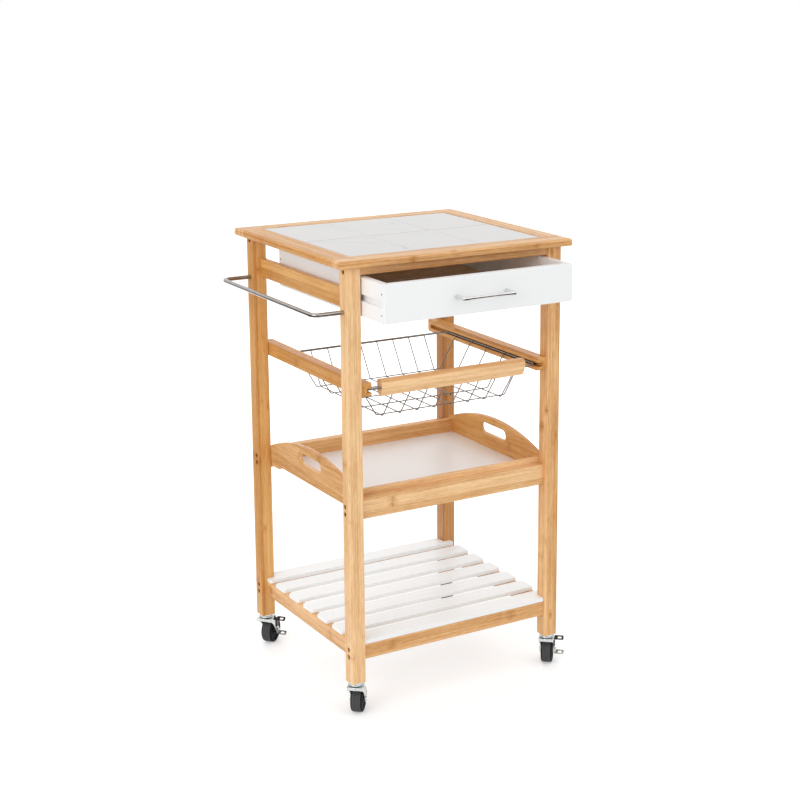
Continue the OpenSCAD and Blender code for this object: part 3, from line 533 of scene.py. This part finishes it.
# worn grey tread with streaks round the wheel, between black sides
def makeWheel(name, heading):
    material, tree, shader, place = newMaterial(name)
    marks = useGroup(tree, smears, {"Vector": place, "Size": 0.012, "Amount": 0.8})
    sides = mixColour(tree, marks.outputs["Mask"], wheels["side"], wheels["sideScuffed"])
    axis = (math.sin(heading), -math.cos(heading), 0)
    normal = addNode(tree, "ShaderNodeTexCoord").outputs["Normal"]
    facing = addNode(tree, "ShaderNodeVectorMath", {0: normal, 1: axis},
                     operation="DOT_PRODUCT").outputs["Value"]
    across = addNode(tree, "ShaderNodeVectorMath", {0: place, 1: axis},
                     operation="DOT_PRODUCT").outputs["Value"]
    outer = remap(tree, math2(tree, "ABSOLUTE", facing), *wheels["treadEdge"])
    lines = addNode(tree, "ShaderNodeCombineXYZ",
                    {0: math2(tree, "MULTIPLY", across, wheels["streaks"])}).outputs[0]
    streaks = remap(tree, noise(tree, lines, 1.0, 2.0), 0.3, 0.7)
    tread = mixColour(tree, streaks, wheels["tread"], wheels["treadWorn"])
    tree.links.new(mixColour(tree, outer, sides, tread), shader.inputs["Base Color"])
    tree.links.new(remap(tree, marks.outputs["Mask"], 0, 1, *wheels["roughness"]),
                   shader.inputs["Roughness"])
    shader.inputs["Specular IOR Level"].default_value = wheels["specular"]
    bumpFrom(tree, shader, noise(tree, place, wheels["grain"], 2.0), wheels["bump"],
             wheels["bumpDepth"])
    return material


pedals = {
    "turn": 0.033,
    "blend": 0.001,
    "black": (0.010, 0.010, 0.011, 1),
    "blackWorn": (0.05, 0.05, 0.05, 1),
    "zinc": (0.62, 0.66, 0.66, 1),
    "roughness": (0.16, 0.34),
}


# brake pedal: black coat above the axle, bright zinc below it
def makePedal(name):
    material, tree, shader, place = newMaterial(name)
    marks = useGroup(tree, smears, {"Vector": place, "Size": 0.006, "Amount": 0.9})
    height = addNode(tree, "ShaderNodeSeparateXYZ", {0: place}).outputs[2]
    bare = remap(tree, height, pedals["turn"] + pedals["blend"], pedals["turn"])
    coat = mixColour(tree, marks.outputs["Mask"], pedals["black"], pedals["blackWorn"])
    tree.links.new(mixColour(tree, bare, coat, pedals["zinc"]), shader.inputs["Base Color"])
    tree.links.new(bare, shader.inputs["Metallic"])
    tree.links.new(remap(tree, marks.outputs["Mask"], 0, 1, *pedals["roughness"]),
                   shader.inputs["Roughness"])
    return material


materials = {
    "bambooUp": makeBamboo("bambooUp", "frame", "Z"),
    "bambooAcross": makeBamboo("bambooAcross", "frame", "X"),
    "bambooBack": makeBamboo("bambooBack", "frame", "Y"),
    "paintedLitUp": makeBamboo("paintedLitUp", "paintedLitTone", "Z"),
    "paintedShadeUp": makeBamboo("paintedShadeUp", "paintedShadeTone", "Z"),
    "paintedShadeBack": makeBamboo("paintedShadeBack", "paintedShadeTone", "Y"),
    "paintedDeepShadeUp": makeBamboo("paintedDeepShadeUp", "deep", "Z"),
    "paintedLitAcross": makeBamboo("paintedLitAcross", "paintedLitTone", "X"),
    "paintedLitBack": makeBamboo("paintedLitBack", "paintedLitTone", "Y"),
    "whiteAcross": makePaint("whiteAcross", "white", "X"),
    "whiteBack": makePaint("whiteBack", "white", "Y"),
    "paintedLitWhite": makePaint("paintedLitWhite", "paintedLitWhiteTone", "X"),
    "tile": makeTile("glazedTile"),
    "grout": makeGrout("grout"),
    "wheel": makeWheel("wheelBlack", wheels["heading"]),
    "wheelTurned": makeWheel("wheelTurned", wheels["backLeftHeading"]),
    "pedal": makePedal("brakePedal"),
}
for name, metal in metals.items():
    materials[name] = makeMetal(name, metal)

slats = ["slat_%d" % k for k in range(1, 8)]
finishes = {
    "bambooUp": ["leg_front_right"],
    "bambooAcross": ["drawer_bottom", "apron_front", "apron_back", "tray_rail_back",
                     "base_rail_front", "base_rail_back", "tray_back", "top_rail_front",
                     "top_rail_back"],
    "bambooBack": ["base_rail_left", "base_rail_right", "top_rail_right",
                   "tray_end_left"],
    # the back-left leg, side rails, guides, right tray end and left top rail get the darker
    # copies: painted shade
    "paintedShadeUp": ["leg_back_left"],
    "paintedShadeBack": ["side_rail_left", "side_rail_right", "guide_left", "guide_right",
                 "tray_end_right", "top_rail_left"],
    # the back-right leg gets the darkest copy: painted shade
    "paintedDeepShadeUp": ["leg_back_right"],
    # the front-left leg, the basket grip, the front tray pieces and the runners get the
    # lighter copies: painted light
    "paintedLitUp": ["leg_front_left"],
    "paintedLitAcross": ["basket_grip", "tray_rail_front", "tray_front"],
    "paintedLitBack": ["runner_left", "runner_right"],
    "whiteAcross": slats + ["drawer_front", "drawer_back", "top_board"],
    # the tray floor gets the brighter copy of the white paint: painted light
    "paintedLitWhite": ["tray_floor"],
    "whiteBack": ["drawer_side_left", "drawer_side_right"],
    "tile": ["top_tiles"],
    "grout": ["top_grout"],
    "chrome": ["drawer_handle"],
    # the towel rail and the basket wires below get the darker metals: painted reflection
    "railChrome": ["towel_rail"],
    "wireChrome": ["basket_frame"],
    "bronzeBolts": ["frame_bolts"],
    "brightZinc": ["drawer_screws", "caster_mounts", "fork_front_left",
                   "fork_front_right", "fork_back_left", "fork_back_right"],
    "wheel": ["wheel_front_left", "wheel_front_right", "wheel_back_right"],
    "wheelTurned": ["wheel_back_left"],
    "pedal": ["brake_front_right", "brake_back_left"],
}
for finish, names in finishes.items():
    for name in names:
        mesh = nodes[name].data
        mesh.materials.clear()
        mesh.materials.append(materials[finish])
print("materials ready:", len(materials))


# softened wooden pieces

boards = {
    "edge": 0.0012,
    "tileEdge": 0.0006,
    "plyEdge": 0.0003,
    "steps": 3,
    "plySteps": 1,
    "merge": 1e-5,
    "flat": math.radians(1),
    "corner": math.radians(40),
    "crease": math.radians(35),
    "names": slats + ["drawer_front", "drawer_side_left", "drawer_side_right",
                      "drawer_back", "tray_end_left", "tray_end_right", "top_tiles"],
}


# a copy of a CAD node with its coplanar triangles joined and its corners eased
def softenNode(name, edge, steps):
    mesh = nodes[name].data.copy()
    form = bmesh.new()
    form.from_mesh(mesh)
    bmesh.ops.remove_doubles(form, verts=form.verts, dist=boards["merge"])
    bmesh.ops.dissolve_limit(form, angle_limit=boards["flat"], verts=form.verts,
                             edges=form.edges)
    sharp = [e for e in form.edges
             if len(e.link_faces) == 2 and e.calc_face_angle(0) > boards["corner"]]
    bmesh.ops.bevel(form, geom=sharp, offset=edge, offset_type="OFFSET", segments=steps,
                    profile=0.5, affect="EDGES", clamp_overlap=True)
    for face in form.faces:
        face.smooth = True
    for e in form.edges:
        if len(e.link_faces) == 2 and e.calc_face_angle(0) > boards["crease"]:
            e.smooth = False
    form.to_mesh(mesh)
    form.free()
    mesh.name = name + ".soft"
    piece = bpy.data.objects.new(name + "_eased", mesh)
    scene.collection.objects.link(piece)
    normals = piece.modifiers.new("normals", "WEIGHTED_NORMAL")
    normals.keep_sharp = True
    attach(piece, nodes[name]["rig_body"])
    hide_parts(name)
    return piece


for name in boards["names"]:
    softenNode(name, boards["tileEdge"] if name == "top_tiles" else boards["edge"],
               boards["steps"])
# the drawer's bottom is plain bamboo ply
softenNode("drawer_bottom", boards["plyEdge"], boards["plySteps"])
print("boards eased:", len(boards["names"]))


# wires of the basket

basket = {
    "rimRadius": 0.00225,
    "wireRadius": 0.0011,
    "rimBend": 0.009,
    "wireBend": 0.005,
    "longWires": 8,
    "crossWires": 5,
    "slopeSide": 0.0425,
    "slopeEnd": 0.039,
    "longInset": 0.011,
    "crossInset": 0.005,
    "crossTurn": 0.0025,
    "crossEnd": 0.001,
    "weld": 0.0004,
    "gripEntry": 0.0043,
    "gripHold": 0.012,
    "gripDepth": 0.008,
    "gripStraight": 0.002,
    "bendSteps": 6,
    "sides": 12,
}


# Geometry Nodes: a path with rounded bends becomes a wire, repeated in equal steps
def makeWireTree():
    tree, source, end = newGroup(
        "bentWires",
        [("Geometry", "NodeSocketGeometry", None), ("Wire Radius", "NodeSocketFloat", 0.001),
         ("Bend Radius", "NodeSocketFloat", 0.005), ("Count", "NodeSocketInt", 1),
         ("Step", "NodeSocketVector", (0.0, 0.0, 0.0)),
         ("Finish", "NodeSocketMaterial", None)],
        [("Geometry", "NodeSocketGeometry")], "GeometryNodeTree")
    start = source.outputs
    path = addNode(tree, "GeometryNodeMeshToCurve", {"Mesh": start["Geometry"]}).outputs[0]
    fillet = addNode(tree, "GeometryNodeFilletCurve", {"Curve": path})
    fillet.mode = "POLY"
    tree.links.new(start["Bend Radius"], fillet.inputs["Radius"])
    fillet.inputs["Count"].default_value = basket["bendSteps"]
    fillet.inputs["Limit Radius"].default_value = True
    ring = addNode(tree, "GeometryNodeCurvePrimitiveCircle",
                   {"Resolution": basket["sides"], "Radius": start["Wire Radius"]})
    wire = addNode(tree, "GeometryNodeCurveToMesh",
                   {"Curve": fillet.outputs[0], "Profile Curve": ring.outputs[0],
                    "Fill Caps": True}).outputs[0]
    row = addNode(tree, "GeometryNodeMeshLine",
                  {"Count": start["Count"], "Start Location": (0.0, 0.0, 0.0),
                   "Offset": start["Step"]}).outputs[0]
    copies = addNode(tree, "GeometryNodeInstanceOnPoints",
                     {"Points": row, "Instance": wire}).outputs[0]
    real = addNode(tree, "GeometryNodeRealizeInstances", {0: copies}).outputs[0]
    smooth = addNode(tree, "GeometryNodeSetShadeSmooth", {0: real}).outputs[0]
    coated = addNode(tree, "GeometryNodeSetMaterial",
                     {"Geometry": smooth, "Material": start["Finish"]}).outputs[0]
    tree.links.new(coated, end.inputs[0])
    return tree


# runs a Geometry Nodes tree over a mesh and gives back the plain result
def runTree(name, mesh, tree, values):
    source = bpy.data.objects.new(name + "Source", mesh)
    scene.collection.objects.link(source)
    modifier = source.modifiers.new("nodes", "NODES")
    modifier.node_group = tree
    keys = {item.name: item.identifier for item in tree.interface.items_tree
            if item.in_out == "INPUT"}
    for label, value in values.items():
        modifier[keys[label]] = value
    graph = bpy.context.evaluated_depsgraph_get()
    result = bpy.data.meshes.new_from_object(source.evaluated_get(graph))
    source.modifiers.clear()
    bpy.data.objects.remove(source)
    result.name = name
    piece = bpy.data.objects.new(name, result)
    scene.collection.objects.link(piece)
    return piece


def pathMesh(points):
    mesh = bpy.data.meshes.new("path")
    mesh.from_pydata([tuple(p) for p in points], [(i, i + 1) for i in range(len(points) - 1)],
                     [])
    return mesh


def joinPieces(name, pieces):
    form = bmesh.new()
    for piece in pieces:
        form.from_mesh(piece.data)
    mesh = bpy.data.meshes.new(name)
    form.to_mesh(mesh)
    form.free()
    for material in pieces[0].data.materials:
        mesh.materials.append(material)
    for piece in pieces:
        bpy.data.objects.remove(piece)
    joined = bpy.data.objects.new(name, mesh)
    scene.collection.objects.link(joined)
    return joined


def makeBasketWires():
    tree = makeWireTree()
    lo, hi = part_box("basket_frame")
    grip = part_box("basket_grip")
    rimHalf = (hi.x - lo.x) / 2 - basket["rimRadius"]
    midX = (hi.x + lo.x) / 2
    rimFront = lo.y + basket["rimRadius"]
    rimBack = hi.y - basket["rimRadius"]
    gripHalf = (grip[1].x - grip[0].x) / 2 - basket["gripHold"]
    thin = basket["wireRadius"]
    longLevel = lo.z + thin
    crossLevel = longLevel + 2 * thin - basket["weld"]
    rimLevel = hi.z - basket["rimRadius"]
    floorX = rimHalf - basket["slopeSide"]
    floorFront, floorBack = rimFront + basket["slopeEnd"], rimBack - basket["slopeEnd"]
    rim = [(midX - gripHalf, rimFront, rimLevel), (midX - rimHalf, rimFront, rimLevel),
           (midX - rimHalf, rimBack, rimLevel), (midX + rimHalf, rimBack, rimLevel),
           (midX + rimHalf, rimFront, rimLevel), (midX + gripHalf, rimFront, rimLevel)]
    longX = floorX - basket["longInset"]
    entry = rimFront + basket["gripEntry"]
    long = [(midX - longX, entry, grip[0].z + basket["gripDepth"]),
            (midX - longX, entry, grip[0].z - basket["gripStraight"]),
            (midX - longX, floorFront, longLevel), (midX - longX, floorBack, longLevel),
            (midX - longX, rimBack - basket["weld"], rimLevel - basket["rimRadius"])]
    end = rimHalf - basket["crossEnd"]
    turn = midX - high("guide_left").x - basket["crossTurn"]
    first = floorFront + basket["crossInset"]
    run = floorBack - floorFront - 2 * basket["crossInset"]
    cross = [(midX - end, first, rimLevel), (midX - turn, first, rimLevel),
             (midX - floorX, first, crossLevel), (midX + floorX, first, crossLevel),
             (midX + turn, first, rimLevel), (midX + end, first, rimLevel)]
    parts = []
    for label, path, radius, bend, count, step in (
            ("rim", rim, basket["rimRadius"], basket["rimBend"], 1, (0, 0, 0)),
            ("long", long, thin, basket["wireBend"], basket["longWires"],
             (2 * longX / (basket["longWires"] - 1), 0, 0)),
            ("cross", cross, thin, basket["wireBend"], basket["crossWires"],
             (0, run / (basket["crossWires"] - 1), 0))):
        parts.append(runTree(label + "Wires", pathMesh(path), tree,
                             {"Wire Radius": radius, "Bend Radius": bend, "Count": count,
                              "Step": step, "Finish": materials["wireChrome"]}))
    wires = joinPieces("basketWires", parts)
    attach(wires, "basket")
    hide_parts("basket_frame")


makeBasketWires()
print("basket wires made")


# bolts and screws

fasteners = {
    "bolt": {"head": 0.0045, "headThick": 0.004, "shank": 0.003, "length": 0.052,
             "socket": 0.0024, "socketDepth": 0.0022},
    "screw": {"head": 0.0026, "headThick": 0.0015, "shank": 0.0015, "length": 0.012,
              "socket": 0.0011, "socketDepth": 0.001},
    "boltSink": 0.002,
    "boltInset": 0.0085,
    "boltHalfPitch": 0.007,
    "screwRadius": 0.0015,
    "screwSink": 0.0001,
    "tip": 0.001,
    "sides": 24,
    "crease": math.radians(40),
}


# a turned pin with a rounded head and a hexagon socket; the head faces -X from x = 0
def pinMesh(kind):
    head, thick, shank, length, socket, socketDepth = fasteners[kind].values()
    turned = [(socketDepth, 0.0), (socketDepth, socket), (0.0, socket),
              (0.0, head * 0.86), (thick * 0.12, head * 0.96), (thick * 0.3, head),
              (thick, head), (thick, shank), (length - fasteners["tip"], shank),
              (length, shank * 0.7), (length, 0.0)]
    sides = fasteners["sides"]
    form = bmesh.new()
    rings = []
    for x, radius in turned:
        if radius == 0:
            rings.append([form.verts.new((x, 0, 0))])
            continue
        ring = []
        for k in range(sides):
            angle = 2 * math.pi * k / sides
            reach = radius
            if radius == socket:  # six flat sides
                part = (angle + math.pi / 6) % (math.pi / 3) - math.pi / 6
                reach = radius / math.cos(part)
            ring.append(form.verts.new((x, reach * math.cos(angle),
                                        reach * math.sin(angle))))
        rings.append(ring)
    for a, b in zip(rings, rings[1:]):
        for k in range(sides):
            corners = [a[k % len(a)], a[(k + 1) % len(a)], b[(k + 1) % len(b)], b[k % len(b)]]
            unique = list(dict.fromkeys(corners))
            if len(unique) > 2:
                form.faces.new(unique)
    bmesh.ops.recalc_face_normals(form, faces=form.faces)
    for face in form.faces:
        face.smooth = True
    for e in form.edges:
        if len(e.link_faces) == 2 and e.calc_face_angle(0) > fasteners["crease"]:
            e.smooth = False
    mesh = bpy.data.meshes.new(kind)
    form.to_mesh(mesh)
    form.free()
    return mesh


# Geometry Nodes: one pin at each point, turned about Z by the given angle
def makePinTree():
    tree, source, end = newGroup(
        "pinsOnPoints",
        [("Geometry", "NodeSocketGeometry", None), ("Pin", "NodeSocketObject", None),
         ("Turn", "NodeSocketFloat", 0.0), ("Finish", "NodeSocketMaterial", None)],
        [("Geometry", "NodeSocketGeometry")], "GeometryNodeTree")
    start = source.outputs
    pin = addNode(tree, "GeometryNodeObjectInfo", {"Object": start["Pin"]})
    turn = addNode(tree, "ShaderNodeCombineXYZ", {2: start["Turn"]}).outputs[0]
    points = addNode(tree, "GeometryNodeMeshToPoints", {"Mesh": start["Geometry"]}).outputs[0]
    copies = addNode(tree, "GeometryNodeInstanceOnPoints",
                     {"Points": points, "Instance": pin.outputs["Geometry"],
                      "Rotation": turn}).outputs[0]
    real = addNode(tree, "GeometryNodeRealizeInstances", {0: copies}).outputs[0]
    coated = addNode(tree, "GeometryNodeSetMaterial",
                     {"Geometry": real, "Material": start["Finish"]}).outputs[0]
    tree.links.new(coated, end.inputs[0])
    return tree


def placePins(name, pinShape, finish, slot, leftPoints, rightPoints, body, *replaced):
    tree = makePinTree()
    pin = bpy.data.objects.new(name + "Pin", pinShape)
    scene.collection.objects.link(pin)
    parts = []
    for side, points, turn in (("Left", leftPoints, 0.0), ("Right", rightPoints, math.pi)):
        cloud = bpy.data.meshes.new("points")
        cloud.from_pydata([tuple(p) for p in points], [], [])
        parts.append(runTree(name + side, cloud, tree,
                             {"Pin": pin, "Turn": turn, "Finish": materials[finish]}))
    bpy.data.objects.remove(pin)
    joined = joinPieces(name, parts)
    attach(joined, body)
    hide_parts(*replaced)


def makeFasteners():
    left, right = [], []
    pitch = fasteners["boltHalfPitch"]
    for rail, halfPitch in (("apron", 0.0), ("tray_rail", pitch), ("base_rail", pitch)):
        for place in ("front", "back"):
            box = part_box(rail + "_" + place)
            level = (box[0].z + box[1].z) / 2
            outer = box[0].y if place == "front" else box[1].y
            depth = fasteners["boltInset"] * (1 if place == "front" else -1)
            for step in sorted({-halfPitch, halfPitch}):
                left.append((low("leg_front_left").x + fasteners["boltSink"],
                             outer + depth, level + step))
                right.append((high("leg_front_right").x - fasteners["boltSink"],
                              outer + depth, level + step))
    placePins("frameBolts", pinMesh("bolt"), "bronzeBolts", "dark_steel", left, right,
              "frame", "frame_bolts")
    lo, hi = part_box("drawer_screws")
    radius, sink = fasteners["screwRadius"], fasteners["screwSink"]
    left = [(lo.x + sink, y, z) for y in (lo.y + radius, hi.y - radius)
            for z in (lo.z + radius, hi.z - radius)]
    right = [(hi.x - sink, y, z) for x, y, z in left]
    placePins("drawerScrews", pinMesh("screw"), "brightZinc", "steel", left, right,
              "drawer", "drawer_screws")


makeFasteners()
print("bolts and screws made")


# floor, light and camera

studio = {
    "key": {"place": (-3.1, -1.5, 2.0), "size": 2.4, "power": 33.5},
    "fill": {"place": (1.4, -3.2, 1.7), "size": 2.6, "power": 7.0},
    "back": {"place": (0.9, 2.7, 1.5), "size": 2.0, "power": 26.0},
    "ambient": 0.88,
    "dimSide": (-0.49, -0.87, 0.0),
    "dimTurn": (-0.75, -0.5),
    "dimHeight": (0.07, 0.0),
    "dimColour": (0.03, 0.03, 0.032, 1),
    "paperEdge": (0.5, 0.85),
    "floorGlow": (0.30, 0.50),
    "floorReach": (0.5, 2.4),
    "floorSize": 30.0,
    "floorColour": (0.86, 0.86, 0.86, 1),
    "aimHeight": 0.45,
}


def cameraRays(tree):
    paths = addNode(tree, "ShaderNodeLightPath").outputs
    seen = math2(tree, "MAXIMUM", paths["Is Camera Ray"], paths["Is Glossy Ray"])
    return math2(tree, "MAXIMUM", seen, paths["Is Transmission Ray"])


# how far a reflected direction turns to the dim side of the room
def dimGlossy(tree, direction):
    toward = addNode(tree, "ShaderNodeVectorMath", {0: direction, 1: studio["dimSide"]},
                     operation="DOT_PRODUCT").outputs["Value"]
    glossy = addNode(tree, "ShaderNodeLightPath").outputs["Is Glossy Ray"]
    return math2(tree, "MULTIPLY", remap(tree, toward, *studio["dimTurn"]), glossy)


def makeStage():
    mesh = bpy.data.meshes.new("floor")
    form = bmesh.new()
    bmesh.ops.create_grid(form, x_segments=1, y_segments=1, size=studio["floorSize"])
    form.to_mesh(mesh)
    form.free()
    floor = bpy.data.objects.new("floor", mesh)
    scene.collection.objects.link(floor)
    material = bpy.data.materials.new("paleFloor")
    material.use_nodes = True
    tree = material.node_tree
    tree.nodes.clear()
    output = tree.nodes.new("ShaderNodeOutputMaterial")
    diffuse = addNode(tree, "ShaderNodeBsdfDiffuse", {"Color": studio["floorColour"]})
    # seen by the camera the floor grows white with the distance from the cart
    position = addNode(tree, "ShaderNodeNewGeometry").outputs["Position"]
    distance = addNode(tree, "ShaderNodeVectorMath", {0: position, 1: tuple(cartMiddle)},
                       operation="DISTANCE").outputs["Value"]
    strength = remap(tree, distance, *studio["floorReach"], *studio["floorGlow"])
    glow = addNode(tree, "ShaderNodeEmission", {"Strength": strength})
    both = addNode(tree, "ShaderNodeAddShader", {0: diffuse.outputs[0], 1: glow.outputs[0]})
    mix = addNode(tree, "ShaderNodeMixShader",
                  {0: cameraRays(tree), 1: diffuse.outputs[0], 2: both.outputs[0]})
    # in reflections the paper ends before the sides and the dim room begins
    outward = addNode(tree, "ShaderNodeVectorMath", {0: position},
                      operation="NORMALIZE").outputs["Vector"]
    dim = math2(tree, "MULTIPLY", remap(tree, distance, *studio["paperEdge"]),
                dimGlossy(tree, outward))
    dark = addNode(tree, "ShaderNodeEmission",
                   {"Color": studio["dimColour"], "Strength": 1.0})
    mix = addNode(tree, "ShaderNodeMixShader", {0: dim, 1: mix.outputs[0], 2: dark.outputs[0]})
    tree.links.new(mix.outputs[0], output.inputs[0])
    mesh.materials.append(material)

    world = bpy.data.worlds.new("studio")
    scene.world = world
    world.use_nodes = True
    tree = world.node_tree
    tree.nodes.clear()
    output = tree.nodes.new("ShaderNodeOutputWorld")
    lit = addNode(tree, "ShaderNodeBackground", {"Strength": studio["ambient"]})
    lit.inputs["Color"].default_value = (1, 1, 1, 1)
    # polished faces mirror the white backdrop, the bright ceiling and the dim room below
    direction = addNode(tree, "ShaderNodeTexCoord").outputs["Generated"]
    height = addNode(tree, "ShaderNodeSeparateXYZ", {0: direction}).outputs[2]
    dim = math2(tree, "MULTIPLY", remap(tree, height, *studio["dimHeight"]),
                dimGlossy(tree, direction))
    seen = addNode(tree, "ShaderNodeBackground",
                   {"Color": mixColour(tree, dim, (1, 1, 1, 1), studio["dimColour"]),
                    "Strength": 1.0})
    mix = addNode(tree, "ShaderNodeMixShader",
                  {0: cameraRays(tree), 1: lit.outputs[0], 2: seen.outputs[0]})
    tree.links.new(mix.outputs[0], output.inputs[0])

    for name in ("key", "fill", "back"):
        lamp = bpy.data.lights.new(name, "AREA")
        lamp.shape = "SQUARE"
        lamp.size = studio[name]["size"]
        lamp.energy = studio[name]["power"]
        holder = bpy.data.objects.new(name, lamp)
        scene.collection.objects.link(holder)
        holder.visible_glossy = name != "back"
        holder.location = cartMiddle + Vector(studio[name]["place"])
        aim = cartMiddle + Vector((0, 0, studio["aimHeight"])) - holder.location
        holder.rotation_euler = aim.to_track_quat("-Z", "Y").to_euler()


viewpoint = {
    "place": (-1.544, -2.739, 1.369),
    "turn": 0.572,
    "tilt": -0.221,
    "roll": 0.005,
    "lens": 75.89,
    "sensor": 36.0,
    "shiftX": -0.1234,
    "shiftY": -0.0875,
}


def makeCamera():
    data = bpy.data.cameras.new("camera")
    data.sensor_width = viewpoint["sensor"]
    data.lens = viewpoint["lens"]
    data.shift_x = viewpoint["shiftX"]
    data.shift_y = viewpoint["shiftY"]
    camera = bpy.data.objects.new("camera", data)
    scene.collection.objects.link(camera)
    turn, tilt, roll = viewpoint["turn"], viewpoint["tilt"], viewpoint["roll"]
    ahead = Vector((math.sin(turn) * math.cos(tilt), math.cos(turn) * math.cos(tilt),
                    math.sin(tilt)))
    side = Vector((math.cos(turn), -math.sin(turn), 0))
    up = side.cross(ahead)
    right = math.cos(roll) * side + math.sin(roll) * up
    above = -math.sin(roll) * side + math.cos(roll) * up
    place = cartMiddle + Vector(viewpoint["place"])
    camera.matrix_world = Matrix((
        (right.x, above.x, -ahead.x, place.x),
        (right.y, above.y, -ahead.y, place.y),
        (right.z, above.z, -ahead.z, place.z),
        (0, 0, 0, 1)))
    scene.camera = camera


makeStage()
makeCamera()
scene.view_settings.view_transform = "Standard"
print("stage, light and camera set")
